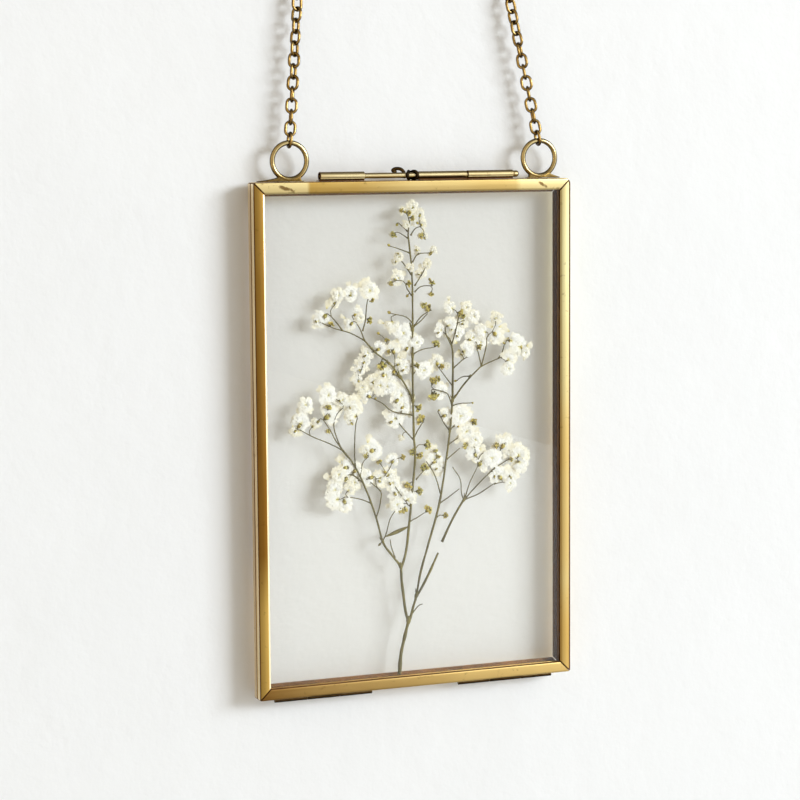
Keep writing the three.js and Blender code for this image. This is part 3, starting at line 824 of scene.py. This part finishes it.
hinge = {"y": 0.0, "z": -0.85, "radius": 0.6, "bore": 0.38, "pin": 0.3, "tip": 0.2, "taper": 0.1, "neck": 0.3,
         "gap": 0.3, "bevel": 0.04, "seam": 0.14, "sides": 24, "pinSides": 20}
hinges = {"left": (-47.6, -15.2), "right": (14.6, 47.4)}
for name, (start, end) in hinges.items():
    share = (end - start - 2 * hinge["gap"]) / 3
    for i, (half, where) in enumerate((("back", "outer"), ("front", "middle"), ("back", "inner"))):
        begin = start + i * (share + hinge["gap"])
        side = 1 if half == "back" else -1
        outline, hole = wrappedLeaf(hinge, hinge["radius"], side, -1, -closing["standOff"])
        Shape().add(*extrudeX(outline, [hole], begin, begin + share, hinge["bevel"])).piece(
            f"{name}Hinge{where.capitalize()}Knuckle", f"{half}_half", "brass", [hookBrown],
            [f"hinge_{name}_{half}_knuckle_{where}"], sharp=35)
    first, last = start + hinge["taper"], end - hinge["taper"]
    profile = [(start, hinge["tip"]), (first, hinge["pin"]), (last, hinge["pin"]), (end, hinge["tip"])]
    Shape().add(*turnedX(profile, hinge["y"], hinge["z"], hinge["pinSides"])).piece(
        f"{name}HingePinRod", "back_half", "brass", [brassSheet], [f"hinge_{name}_pin"], sharp=40)
print("hinges done")


stalkForm = {"plane": -0.08, "flat": 0.72, "sides": 10, "steps": 5, "knot": 0.32, "waver": 0.12}
stalks = {
    "stem_base": {"radius": (0.62, 0.54), "points": [(-5.9, 3.8), (-5.3, 10), (-4, 16), (-2.7, 20.6)]},
    "stem_left_lower": {"radius": (0.46, 0.42), "points": [
        (-2.75, 20.8), (-3.4, 23), (-4.6, 31), (-5.1, 38)]},
    "stem_left_upper": {"radius": (0.38, 0.28), "points": [
        (-5.2, 38), (-5.9, 39.4), (-8.4, 42.6), (-11, 46.4), (-13.2, 54), (-16.2, 62.5), (-20.2, 71.2),
        (-24.4, 76.6)]},
    "stem_centre_lower": {"radius": (0.42, 0.37), "points": [
        (-5.0, 38), (-4.3, 39.8), (-3, 45), (-2.2, 52), (-1.2, 61), (-0.2, 70.2), (0, 74.5), (-0.4, 80),
        (-0.6, 91.4)]},
    "stem_centre_upper": {"radius": (0.37, 0.2), "points": [
        (-0.6, 91.4), (-0.7, 104), (-0.5, 117), (-0.6, 130), (-1.3, 138), (-1.8, 143), (-1.4, 147)]},
    "stem_right_lower": {"radius": (0.48, 0.42), "points": [
        (-2.5, 20.9), (-1.8, 22.3), (-0.9, 25.5), (0.1, 28.6)]},
    "stem_tall": {"radius": (0.4, 0.33), "points": [
        (0.1, 28.6), (0.5, 30.6), (1.6, 36), (4.6, 46), (8.3, 58), (10.5, 71), (12, 81), (12.95, 90.8)]},
    "stem_tall_upper": {"radius": (0.36, 0.22), "points": [
        (12.95, 90.8), (13.1, 101.6), (12.8, 107), (10.8, 111.5)]},
    "stem_broken_stub": {"radius": (0.42, 0.36), "points": [
        (0.4, 28.6), (1.3, 30), (2.9, 32.8), (5.2, 37), (7.7, 42)]},
    "stem_outer": {"radius": (0.42, 0.36), "points": [(9.0, 45.4), (12.3, 51.8), (14.4, 55.2), (16.7, 58.6)]},
    "branch_upper_left": {"radius": (0.33, 0.24), "points": [
        (-0.7, 91.8), (-1.7, 93.6), (-4.4, 98), (-8.4, 103), (-13, 106.6), (-16.8, 110.6)]},
    "branch_upper_right": {"radius": (0.33, 0.24), "points": [
        (13, 90.6), (14.1, 91.8), (16.2, 94.6), (19.3, 97.8), (22.9, 100.9)]},
}
network = []  # every point that a finer twig may spring from: x, z, direction, radius


def remember(line, sizes):
    for i in range(1, len(line)):
        way = (line[i] - line[i - 1]).normalized()
        network.append((line[i].x, line[i].z, way.x, way.z, sizes[i]))


# A stalk with a slow taper, small knots and a wavering line.
def growStalk(shape, points, radii, seed):
    line = smoothLine([Vector((x, stalkForm["plane"], z)) for x, z in points], stalkForm["steps"])
    count = len(line)
    sizes = []
    for i, p in enumerate(line):
        knot = stalkForm["knot"] * noise.noise(Vector((p.x * 0.3, seed * 3.1, p.z * 0.35)))
        sizes.append((radii[0] + (radii[1] - radii[0]) * i / (count - 1)) * (1 + knot))
        waver = noise.noise(Vector((p.z * 0.22, seed, 1.7))) * stalkForm["waver"] * min(1, i, count - 1 - i)
        line[i] = p + Vector((waver, 0, 0))
    shape.add(*sweep(line, sizes, stalkForm["sides"], flat=stalkForm["flat"]))
    remember(line, sizes)


# The swelling at a fork, with narrow bracts round it.
def forkKnot(shape, x, z, radius, heading, bracts):
    rows = ((-2.25, 0.55), (-1.35, 0.95), (-0.3, 1.3), (0.75, 1.22), (1.65, 0.85), (2.4, 0.5))
    line = [Vector((x, stalkForm["plane"], z)) + headed(heading) * (t * radius) for t, _ in rows]
    shape.add(*sweep(line, [radius * r for _, r in rows], stalkForm["sides"], flat=stalkForm["flat"]), 1)
    for i in range(bracts):
        lean = heading + (0.38 if i % 2 else -0.42) + random.uniform(-0.12, 0.12)
        depth = stalkForm["plane"] - 0.15 + 0.25 * i
        leaf(shape, (x, z), lean, radius * random.uniform(4.2, 6.0), radius * 1.1, depth, 1)


# A narrow pointed leaf, folded a little along its middle.
def leaf(shape, root, heading, length, width, depth, mat=0):
    along = headed(heading)
    across = Vector((along.z, 0, -along.x))
    rows = ((0, 0.3), (0.2, 0.75), (0.45, 1.0), (0.7, 0.72), (0.9, 0.3), (1.0, 0.06))
    verts = []
    for t, w in rows:
        mid = Vector((root[0], depth + 0.12 * math.sin(3 * t), root[1])) + along * (t * length)
        half, fold = across * (w * width / 2), Vector((0, -0.14 * w * width, 0))
        above, below = (mid + Vector((0, y, 0)) for y in (-0.05, 0.07))
        verts += [mid - half + fold, above, mid + half + fold, below]
    shape.add(verts, caps(len(rows), 4) + bands(len(rows), 4), mat)


random.seed(11)
forks = {
    "stem_base": [(-2.65, 21.0, 0.62, 0.1, 0)],
    "stem_left_lower": [(-5.15, 38.6, 0.52, -0.15, 1)],
    "stem_right_lower": [(0.15, 28.9, 0.52, 0.35, 1)],
    "stem_left_upper": [(-11.2, 46.9, 0.4, -0.4, 1)],
    "stem_centre_lower": [(-0.6, 91.0, 0.46, 0, 3), (-0.1, 74.6, 0.4, 0.1, 1), (-1.6, 58, 0.34, 0.1, 0)],
    "stem_centre_upper": [(-0.6, 113.4, 0.46, 0, 3), (-0.65, 104.8, 0.36, 0, 2), (-0.5, 124.4, 0.3, 0, 1)],
    "stem_tall": [(12.9, 90.4, 0.42, 0.15, 2), (11.9, 80.6, 0.36, 0.1, 1), (8.2, 57.8, 0.34, 0.3, 0)],
    "stem_outer": [(16.7, 58.5, 0.42, 0.5, 1)],
    "branch_upper_left": [(-5.0, 98.8, 0.46, -0.75, 3), (-8.6, 103.1, 0.36, -0.8, 2)],
    "branch_upper_right": [(18.9, 97.8, 0.3, 0.6, 0)],
}
for order, (node, stalk) in enumerate(stalks.items()):
    shape = Shape()
    growStalk(shape, stalk["points"], stalk["radius"], order)
    for x, z, radius, heading, bracts in forks.get(node, ()):
        forkKnot(shape, x, z, radius, heading, bracts)
    if node == "stem_left_upper":  # a long leaf to the left and a short one by the fork
        leaf(shape, (-2.5, 51.0), math.radians(-109), 8.8, 1.35, 0.15)
        leaf(shape, (-12.7, 45.6), math.radians(50), 1.6, 0.8, 0.1, 1)
    shape.piece(camel(node), "back_half", "stalk", [stemBrown, forkGold], [node])
print("stalks grown")


clearDepth = 0.84  # nothing in the spray comes nearer to the panes than this
twig = {"root": 0.19, "tip": 0.125, "sides": 6, "flat": 0.8, "steps": 4, "depth": 0.12, "join": -0.13,
        "uphill": 0.9}


def pressed(v):
    return Vector((v.x, max(-clearDepth, min(clearDepth, v.y)), v.z))


# The point of the network that a twig to (x, z) would spring from: near, below it, and growing towards it.
def nearestPoint(x, z):
    best = None
    for point in network:
        dx, dz = x - point[0], z - point[1]
        long = math.hypot(dx, dz)
        if long < 0.2:
            continue
        against = 1 - (dx * point[2] + dz * point[3]) / long
        cost = long * (1 + twig["uphill"] * against * 0.5) + (0.8 if dz < 0 else 0)
        if best is None or cost < best[0]:
            best = (cost, point)
    return best[1]


def growTwig(shape, points, root, tip, wander):
    depth = twig["depth"] + random.uniform(-0.25, 0.3)
    joined = [Vector((x, depth if i else twig["join"], z)) for i, (x, z) in enumerate(points)]
    line = smoothLine(joined, twig["steps"])
    count = len(line)
    sizes = [root + (tip - root) * i / (count - 1) for i in range(count)]
    sizes[0] *= 1.5
    line = [p + Vector((random.uniform(-1, 1), 0, random.uniform(-1, 1))) * wander * (0 < i < count - 1)
            for i, p in enumerate(line)]
    shape.add(*sweep(line, sizes, twig["sides"], flat=twig["flat"]))
    remember(line, sizes)
    return (line[-1] - line[-3]).normalized()


# Joins a point to the nearest stalk or twig by a bowed stalk of its own, and gives the way it arrives.
def stalkTo(shape, x, z, short):
    px, pz, dx, dz, size = nearestPoint(x, z)
    far = math.hypot(x - px, z - pz)
    reach = max(far - short, far * 0.4)
    ex, ez = px + (x - px) * reach / far, pz + (z - pz) * reach / far
    bow = min(far * 0.32, 2.2)
    middle = (px + (ex - px) * 0.45 + dx * bow * 0.5, pz + (ez - pz) * 0.45 + dz * bow * 0.5)
    way = growTwig(shape, [(px, pz), middle, (ex, ez)], min(twig["root"], size * 0.9), twig["tip"],
                   min(0.05, far * 0.01))
    return (ex, ez), math.atan2(way.x, way.z)


petalForm = {
    "rows": ((0, 0.16), (0.2, 0.42), (0.42, 0.74), (0.64, 0.96), (0.82, 1.0), (0.95, 0.76), (1.0, 0.4)),
    "section": ((-1, 0), (-0.45, -1), (0.45, -1), (1, 0), (0.45, 1), (-0.45, 1)),
    "thick": 0.03, "ruffle": 0.12, "curl": 0.06, "frill": 0.075, "notch": 0.09,
}


# One petal: narrow foot, broad frilled rim, cupped and ruffled, thin but closed.
def petal(shape, root, heading, length, width, lift, cup, tone):
    along = headed(heading)
    across = Vector((along.z, 0, -along.x))
    bend, wave = random.uniform(-0.25, 0.25), random.uniform(0, 6.28)
    rows, section = petalForm["rows"], petalForm["section"]
    verts, marks = [], []
    for t, w in rows:
        mid = root + along * (t * length) + across * (bend * t * t * length * 0.4)
        mid.y += lift * t - cup * math.sin(math.pi * t * 0.9)
        for s, side in section:
            frill = petalForm["frill"] * t ** 3 * math.sin(2 * wave + 7 * s)
            frill -= petalForm["notch"] * (t == 1 and abs(s) < 1)
            relief = petalForm["ruffle"] * w * math.sin(wave + 4 * s + 5 * t) + petalForm["curl"] * w * s * s
            rise = Vector((0, relief + side * petalForm["thick"], 0))
            verts.append(pressed(mid + across * (s * w * width / 2) + along * (frill * length) + rise))
            marks.append(t)
    shape.add(verts, caps(len(rows), len(section)) + bands(len(rows), len(section)), 0, marks, tone)


# A flattened body of rotation along a heading: a bud, a calyx or a dry capsule.
def budBody(shape, root, heading, length, radius, rows, tone, ribs=0.0, sides=10, depth=0.1):
    line = [Vector((root[0], depth, root[1])) + headed(heading) * (t * length) for t, _ in rows]
    verts, faces = sweep(line, [radius * w for _, w in rows], sides, flat=min(0.95, 0.68 / max(radius, 0.1)))
    for i, v in enumerate(verts):
        mid = line[i // sides]
        verts[i] = pressed(mid + (v - mid) * (1 + ribs * (1 if i % 2 else -1)))
    shape.add(verts, faces, 1, [rows[i // sides][0] for i in range(len(verts))], tone)


budRows = ((0, 0.3), (0.12, 0.68), (0.35, 0.98), (0.6, 1.0), (0.8, 0.74), (0.94, 0.4), (1.0, 0.12))
calyxRows = ((0, 0.36), (0.2, 0.72), (0.5, 0.94), (0.8, 1.05), (1.0, 0.9))


def calyx(shape, root, heading, size, tone):
    budBody(shape, root, heading, size * 1.1, size * 0.46, calyxRows, tone, 0.07)
    foot = Vector((root[0], 0, root[1])) + headed(heading) * size * 0.85
    for k in range(4):  # its teeth
        lean = heading + (k - 1.5) * 0.34 + random.uniform(-0.08, 0.08)
        leaf(shape, (foot.x, foot.z), lean, size * random.uniform(0.7, 0.95), size * 0.34,
             random.uniform(-0.3, 0.3), 2)


# A dry sepal, broad and cupped, in a bud's colours.
def sepal(shape, root, heading, length, width, depth, tone):
    part = Shape()
    petal(part, Vector((root[0], depth * 0.3, root[1])), heading, length, width, depth, 0.2, tone)
    shape.add(part.verts, part.faces, 1, part.along, tone)


# A blossom's layers run from the back: petals, reach, depth, breadth.
blossomForm = {
    "full": {"short": 0.6, "long": 1.14, "calyx": (0.6, 0.34), "layers": (
        (9, 1.12, 0.3, 0.72), (9, 0.94, 0.08, 0.74), (8, 0.7, -0.14, 0.8), (6, 0.44, -0.32, 0.9))},
    "fan": {"short": 1.1, "long": 1.86, "calyx": (0.8, 0.55), "spread": (70, 100), "layers": (
        (8, 1.0, 0.3, 0.52), (8, 0.9, 0.08, 0.55), (7, 0.74, -0.14, 0.6), (5, 0.55, -0.32, 0.7))},
    "fullShare": 0.5, "aheadShare": 0.38, "ahead": -0.34, "behind": 0.36, "loose": (0, 1, 2, 3),
    "loosePlane": 0.62,
}


# A double blossom. Pressed from the side it opens as a fan from its calyx, from the front as a full round.
# Most lie behind the stalks, with here and there a few loose pale petals behind them.
def blossom(heads, greens, x, z, radius, tone):
    full, ahead = random.random() < blossomForm["fullShare"], random.random() < blossomForm["aheadShare"]
    form, plane = blossomForm["full" if full else "fan"], blossomForm["ahead" if ahead else "behind"]
    (ex, ez), heading = stalkTo(greens, x, z, radius * form["short"])
    least, part = form["calyx"]
    long = radius * form["long"]
    if full:
        root, spread = Vector((x, plane, z)), math.pi
        foot = (x - 0.3 * radius, z - 0.3 * radius)
    else:
        root = Vector((ex, plane, ez)) + headed(heading) * radius * 0.25
        spread, foot = math.radians(random.uniform(*form["spread"])), (ex, ez)
    if not (full and ahead):
        calyx(greens, foot, heading, max(least, radius * part), random.uniform(0.1, 0.8))
    for order, (count, reach, depth, broad) in enumerate(form["layers"]):
        for k in range(count):
            lean = heading + spread * (2 * (k + random.uniform(0.1, 0.9)) / count - 1)
            size = long * reach * random.uniform(0.8, 1.1)
            if not full:
                size *= 1 - 0.3 * abs(lean - heading) / spread
            foot = root + Vector([random.uniform(-play, play) for play in (0.1, 0.06, 0.1)])
            wide, deep = size * broad * random.uniform(0.8, 1.15), depth * random.uniform(0.6, 1.3)
            # Petals in the back layers get a darker, creamier tone, as painted shade.
            cup, shade = random.uniform(-0.05, 0.16), tone + 0.25 - 0.2 * order + random.uniform(-0.2, 0.2)
            petal(heads, foot, lean, size, wide, deep, cup, min(1, max(0, shade)))
    for k in range(random.choice(blossomForm["loose"])):
        way = random.uniform(0, 6.28)
        foot = Vector((x, blossomForm["loosePlane"], z)) + headed(way) * radius * 0.6
        petal(heads, foot, way + random.uniform(-0.8, 0.8), radius * random.uniform(0.9, 1.3),
              radius * random.uniform(0.7, 1.0), 0.12, 0.04, 1.0)


budForm = {"least": 0.42, "scale": 0.92, "opens": 0.62, "fringe": (3, 5), "sepals": 7, "seeds": 3}


# A closed bud, or where it is large a dry cup of sepals that has opened, with dark seeds and a pale fringe.
def bud(heads, greens, x, z, radius):
    (ex, ez), heading = stalkTo(greens, x, z, radius * 0.9)
    size = max(radius, budForm["least"]) * budForm["scale"]
    tone = random.uniform(0.1, 0.9)
    if size < budForm["opens"]:
        budBody(greens, (ex, ez), heading, size * 2.1, size * 0.8, budRows, tone, 0.06)
        return
    heart = Vector((ex, 0, ez)) + headed(heading) * size * 0.75
    behind = heart + Vector((0, 0.15, 0))
    for k in range(random.randint(*budForm["fringe"])):
        petal(heads, behind, heading + random.uniform(-1.5, 1.5), size * random.uniform(1.15, 1.6),
              size * random.uniform(0.7, 1.0), 0.3, 0.05, random.uniform(0.5, 1.0))
    budBody(greens, (ex, ez), heading, size * 1.1, size * 0.5, calyxRows, tone * 0.5, 0.08)
    for k in range(budForm["sepals"]):
        lean = heading + (k - budForm["sepals"] // 2) * 0.5 + random.uniform(-0.2, 0.2)
        long, wide = size * random.uniform(0.9, 1.45), size * random.uniform(0.6, 0.9)
        sepal(greens, (heart.x, heart.z), lean, long, wide, random.uniform(-0.5, 0.2),
              min(1, max(0, tone + random.uniform(-0.4, 0.4))))
    for k in range(budForm["seeds"]):
        way = random.uniform(0, 6.28)
        spot = heart + headed(way) * size * random.uniform(0.25, 0.6)
        seed = Shape()
        budBody(seed, (spot.x, spot.z), way, size * 0.42, size * 0.17, budRows, 0.5, 0.0, 6, -0.5)
        greens.add(seed.verts, seed.faces, 1, [0.02] * len(seed.verts), 0.1)


# Heads and buds are (X, Z, radius), twigs the points that each runs through.
spray = {
    "top": {
        "heads": [(-0.1, 151.7, 1.68), (1.9, 150.0, 1.44), (2.9, 145.7, 1.35), (4.4, 133.9, 1.35),
        (2.6, 130.9, 1.68), (-5.2, 129.7, 1.93), (6.8, 137.5, 1.06), (-5.1, 136.3, 1.35),
        (-3.0, 151.1, 1.25), (1.1, 147.6, 1.16), (-2.5, 146.3, 1.16), (4.0, 142.6, 0.96),
        (-6.7, 134.9, 0.96), (-2.1, 132.9, 1.16), (1.6, 138.1, 0.96)],
        "buds": [(-4.0, 150.8, 0.72), (-2.3, 149.9, 0.9), (-0.7, 149.0, 0.9), (-5.6, 146.8, 0.58),
        (3.2, 142.3, 1.0), (-7.1, 143.8, 1.1), (-8.2, 139.7, 0.58), (5.7, 137.3, 0.72),
        (-5.6, 136.4, 0.8), (5.4, 128.9, 0.58), (6.7, 127.1, 0.9), (-7.8, 128.3, 0.9),
        (-2.6, 127.9, 1.0)],
        "twigs": [[(-2.0, 144.1), (-5.0, 146.8)], [(-1.0, 142.9), (0.6, 144.8), (2.7, 145.7)],
        [(-2.0, 142.0), (-4.6, 143.7)], [(-1.4, 137.4), (-5.1, 138.8), (-7.7, 139.6)],
        [(-0.5, 134.5), (1.6, 136.9), (5.7, 137.3)], [(-0.8, 130.5), (-4.1, 135.1), (-5.6, 136.4)],
        [(0.2, 127.1), (2.6, 130.4)], [(0.2, 125.2), (2.6, 126.8), (6.7, 126.9)],
        [(-0.8, 124.0), (-2.1, 126.2), (-2.6, 127.4)]]},
    "upper_left": {
        "heads": [(-15.0, 126.1, 2.65), (-21.1, 125.4, 2.17), (-25.4, 125.0, 1.93), (-26.4, 122.7, 1.68),
        (-29.7, 119.5, 2.41), (-31.8, 117.2, 1.93), (-20.1, 119.2, 1.93), (-22.2, 116.9, 1.68),
        (-18.4, 117.7, 1.44)],
        "buds": [(-15.0, 117.8, 1.1), (-28.3, 115.7, 0.9), (-14.2, 123.6, 0.8)],
        "twigs": [[(-16.8, 110.6), (-21.4, 113.1), (-26.9, 114.8), (-31.2, 116.8)],
        [(-16.8, 110.6), (-18.2, 114.4), (-20.6, 118)],
        [(-17.4, 113.5), (-16.4, 116.9), (-15.9, 121.6), (-15.2, 124.5)],
        [(-24, 113.9), (-26.8, 117.6), (-28.6, 119.2)]]},
    "centre": {
        "heads": [(-8.9, 114.9, 1.93), (-3.8, 112.4, 2.65), (-1.2, 108.9, 2.89), (-6.9, 108.2, 2.17),
        (0.6, 109.3, 1.93), (-12.6, 108.4, 1.93), (-15.6, 106.6, 1.93), (-16.7, 103.8, 1.93),
        (-18.3, 101.4, 1.68), (-19.3, 98.8, 1.44), (-17.8, 96.1, 1.68), (-9.5, 99.6, 2.89),
        (-7.0, 100.9, 1.93), (-11.6, 96.3, 2.41), (-13.7, 98.8, 1.68), (-8.0, 96.7, 1.93),
        (-2.8, 101.7, 2.17), (-5.4, 103.8, 1.44), (2.9, 100.5, 2.41), (7.1, 102.8, 1.93),
        (-16.3, 93.2, 1.93), (9.1, 93.4, 2.17), (9.6, 86.1, 1.93), (-6.7, 85.7, 2.61), (-4.4, 92.9, 3.4),
        (-3.9, 89.3, 2.61), (-5.1, 79.6, 0.9)],
        "buds": [(-12.0, 112.7, 0.58), (-9.5, 110.4, 0.72), (-11.8, 103.3, 1.6), (-8.5, 107.0, 0.72),
        (0.6, 102.6, 0.9), (5.5, 96.9, 1.35), (7.8, 97.6, 1.0), (7.4, 107.8, 1.3), (5.3, 92.2, 1.6),
        (1.4, 89.4, 1.2), (3.0, 84.5, 1.5), (-13.5, 92.3, 0.45), (8.4, 101.3, 0.9), (4.2, 77.3, 1.4),
        (7.9, 87.5, 0.42), (-2.4, 124.3, 0.58), (6.2, 124.4, 0.9), (3.3, 121.0, 1.0), (5.6, 119.5, 1.25),
        (-8.4, 118.9, 0.67)],
        "twigs": [[(-0.4, 115.1), (-2.7, 117.4), (-7.3, 118.6)],
        [(-0.1, 114.4), (2.5, 117.4), (5.6, 119.2)], [(-0.4, 114.1), (2.2, 116.0), (4.6, 118.3)],
        [(-0.5, 105.2), (0.5, 106.0), (2.9, 107.0), (6.6, 107.5)],
        [(13.0, 95.0), (11.0, 97.5), (8.4, 100.8)],
        [(-0.7, 86.4), (-7.6, 88.0), (-10.7, 90.5), (-13.7, 92.1)],
        [(-0.3, 79.5), (2.0, 82.9), (2.9, 84.0)], [(-0.4, 78.5), (-5.0, 83.7), (-6.7, 87.0)],
        [(12.7, 88.8), (11.4, 92.4), (9.7, 93.4), (6.5, 94.3)],
        [(12.0, 80.6), (10.2, 83.3), (8.0, 87.1)]]},
    "upper_right": {
        "heads": [(12.2, 120.9, 1.68), (17.7, 119.8, 1.68), (20.3, 116.8, 1.93), (11.4, 116.1, 1.93),
        (9.2, 112.8, 1.93), (16.6, 115.5, 2.17), (15.0, 111.7, 1.93), (16.0, 107.7, 2.17),
        (20.3, 110.0, 2.41), (22.9, 108.4, 2.17), (24.0, 113.7, 2.17), (28.3, 112.1, 2.41),
        (28.3, 116.0, 1.68), (34.1, 110.4, 2.41), (36.3, 107.9, 2.17), (37.6, 106.6, 2.3),
        (38.2, 104.6, 1.44), (32.5, 102.2, 2.17), (32.2, 99.7, 1.93), (16.6, 104.8, 0.96),
        (11.0, 101.6, 0.96)],
        "buds": [(15.0, 118.4, 1.2), (16.6, 117.7, 0.9), (31.2, 107.9, 0.42), (18.4, 104.2, 0.58),
        (19.9, 89.3, 0.42), (14.1, 96.4, 0.5), (21.6, 106.8, 0.7), (13.0, 113.6, 0.7)],
        "twigs": [[(22.9, 100.9), (26.1, 102.0), (29.8, 103.3), (34.7, 105.0)],
        [(22.9, 101.0), (24.8, 106.9), (25.1, 109.8), (26.1, 111.2)],
        [(28.8, 103.1), (30.4, 105.0), (31.2, 107.6)], [(22.9, 100.9), (22.2, 104.4), (21.4, 107.0)],
        [(13.1, 105.5), (12.6, 109.3), (10.5, 111.8)], [(13.1, 100.6), (16.6, 103.1), (18.7, 104.2)],
        [(12.8, 108.5), (14.2, 112.5), (15.2, 116.5)], [(12.6, 88.7), (15.4, 89.3), (20.0, 89.3)],
        [(18.9, 97.9), (16.5, 97.7), (14.1, 96.4)]]},
    "left": {
        "heads": [(-29.1, 94.1, 2.61), (-24.2, 92.3, 2.09), (-20.6, 89.8, 2.87), (-20.1, 88.2, 2.35),
        (-30.5, 86.9, 3.0), (-33.6, 86.6, 1.56), (-36.5, 91.4, 2.09), (-37.1, 86.8, 2.09),
        (-39.3, 84.8, 2.2), (-40.9, 83.9, 1.3)],
        "buds": [(-28.6, 90.2, 1.0), (-21.2, 85.9, 0.9), (-28.9, 83.7, 0.8), (-34.4, 84.6, 0.5)],
        "twigs": [[(-24.4, 76.6), (-28.4, 78.8), (-33.9, 81.2), (-38.1, 83.6)],
        [(-24.4, 76.6), (-26.6, 79.8), (-28.4, 83.2), (-30.5, 86.3)],
        [(-24.4, 76.6), (-25.7, 79.4), (-27.0, 83.6), (-26.4, 87.3), (-24.2, 89.7)],
        [(-20.2, 71.2), (-20.3, 75.5), (-20.1, 80.7), (-19.8, 84.3), (-19.3, 86.1)]]},
    "lower_left": {
        "heads": [(-15.2, 76.8, 2.61), (-16.9, 76.3, 1.56), (-24.1, 71.5, 2.35), (-21.4, 70.3, 2.09),
        (-25.8, 69.0, 2.35), (-26.9, 66.5, 2.35), (-28.6, 65.4, 2.09), (-20.3, 66.1, 2.09),
        (-23.1, 65.2, 1.56), (-27.5, 60.8, 2.61), (-24.8, 60.1, 2.09), (-15.0, 69.2, 2.35),
        (-11.9, 67.1, 2.35), (-6.8, 73.1, 1.83), (-9.1, 68.0, 2.09), (-7.5, 65.3, 2.35),
        (-5.6, 62.0, 2.7), (-3.6, 60.8, 2.09), (-6.4, 58.4, 2.09)],
        "buds": [(-4.8, 79.6, 0.52), (-5.3, 56.7, 1.4), (-12.2, 72.4, 0.9), (-4.3, 73.5, 0.9),
        (-9.7, 68.8, 0.63), (-23.6, 67.3, 0.9), (-16.0, 74.7, 0.9)],
        "twigs": [[(-18.6, 67.8), (-18.2, 69.3), (-17.5, 72.2), (-15.8, 73.9)],
        [(-15.1, 59.4), (-19.2, 61.0), (-23.9, 61.8)],
        [(-17.8, 66.2), (-20.8, 68.5), (-23.6, 68.9), (-24.7, 70.5)],
        [(-13.4, 54.5), (-12.3, 57.5), (-11.7, 60.5), (-11.7, 62.7), (-14.2, 65.2), (-16.6, 67.2)],
        [(-11.7, 62.9), (-13.1, 64.6), (-13.3, 66.7)]]},
    "right": {
        "heads": [(15.4, 85.4, 3.0), (17.6, 80.3, 2.8), (20.5, 77.4, 2.35), (21.1, 74.2, 2.09),
        (22.8, 70.9, 2.61), (26.3, 71.3, 2.8), (30.9, 76.9, 2.8), (34.4, 74.5, 2.35), (36.2, 71.2, 2.5),
        (38.0, 69.0, 2.2), (30.3, 65.1, 2.61), (28.0, 66.3, 2.09), (35.0, 64.3, 2.61),
        (32.7, 62.8, 1.83)],
        "buds": [(24.4, 73.5, 0.42), (28.6, 75.7, 1.0), (33.0, 70.9, 0.9), (20.3, 83.3, 1.0),
        (17.3, 76.3, 1.1), (14.9, 82.2, 0.5), (20.2, 83.1, 1.0)],
        "twigs": [[(16.9, 58.6), (22.2, 63.5), (27.4, 68.0), (28.6, 71.1)],
        [(16.9, 58.6), (18.7, 63.7), (20.8, 67.6)],
        [(16.8, 58.5), (21.9, 59.9), (26.1, 62.2), (28.0, 63.2)],
        [(16.6, 58.5), (16, 60.6), (15.6, 65.0), (13.0, 69.1)],
        [(27.0, 67.6), (28.6, 68.5), (33.0, 70.9)], [(12.0, 81.0), (14.0, 83.0), (15.0, 84.5)],
        [(11.4, 76.5), (14.0, 77.8), (17.0, 79.5)]]},
    "lower_right": {
        "heads": [(6.7, 71.8, 2.9), (8.4, 69.6, 2.0), (4.6, 70.0, 1.6)],
        "buds": [(1.4, 74.5, 1.2), (-0.6, 75.4, 1.0), (3.3, 69.1, 1.4), (-2.7, 65.0, 1.2),
        (1.2, 62.8, 1.35), (4.1, 55.6, 1.35), (10.1, 54.2, 0.94), (7.3, 74.7, 0.8), (7.9, 72.8, 0.8)],
        "twigs": [[(0.2, 65.9), (2.2, 67.9)], [(-1.8, 52.8), (0.6, 53.7), (3.2, 55.1)],
        [(8.6, 61.0), (6.7, 67.1), (3.9, 71.5)], [(8.3, 57.9), (11.6, 59.6), (15.3, 62.0)],
        [(10.6, 71.6), (13.0, 73.2), (15.6, 75.1)],
        [(-11.1, 47.4), (-10.1, 49.1), (-8.7, 53.8), (-7.0, 56.3)],
        [(-7.1, 41.5), (-8.2, 44.7), (-8.7, 47.4)], [(-1.8, 22.6), (0.7, 25.4), (2.2, 25.9)]]},
}
for order, (node, group) in enumerate(spray.items()):
    random.seed(100 + order)
    heads, greens, name = Shape(), Shape(), camel(node)
    for points in group["twigs"]:
        growTwig(greens, points, twig["root"] * 1.15, twig["tip"] * 1.1, 0.03)
    for x, z, radius in sorted(group["heads"], key=lambda head: head[1]):
        blossom(heads, greens, x, z, radius, random.uniform(0.1, 0.7) + (0.35 if radius < 1.7 else 0))
    for x, z, radius in sorted(group["buds"], key=lambda head: head[1]):
        bud(heads, greens, x, z, radius)
    heads.piece(name + "Petals", "back_half", "petal", [petalWhite], ["blooms_" + node], 70, True)
    greens.piece(name + "Twigs", "back_half", "stalk", [twigBrown, budGold, forkGold], (), 75, True)
    print(name, "blossoms:", len(heads.faces), "faces, twigs:", len(greens.faces), "faces")
print("spray done")
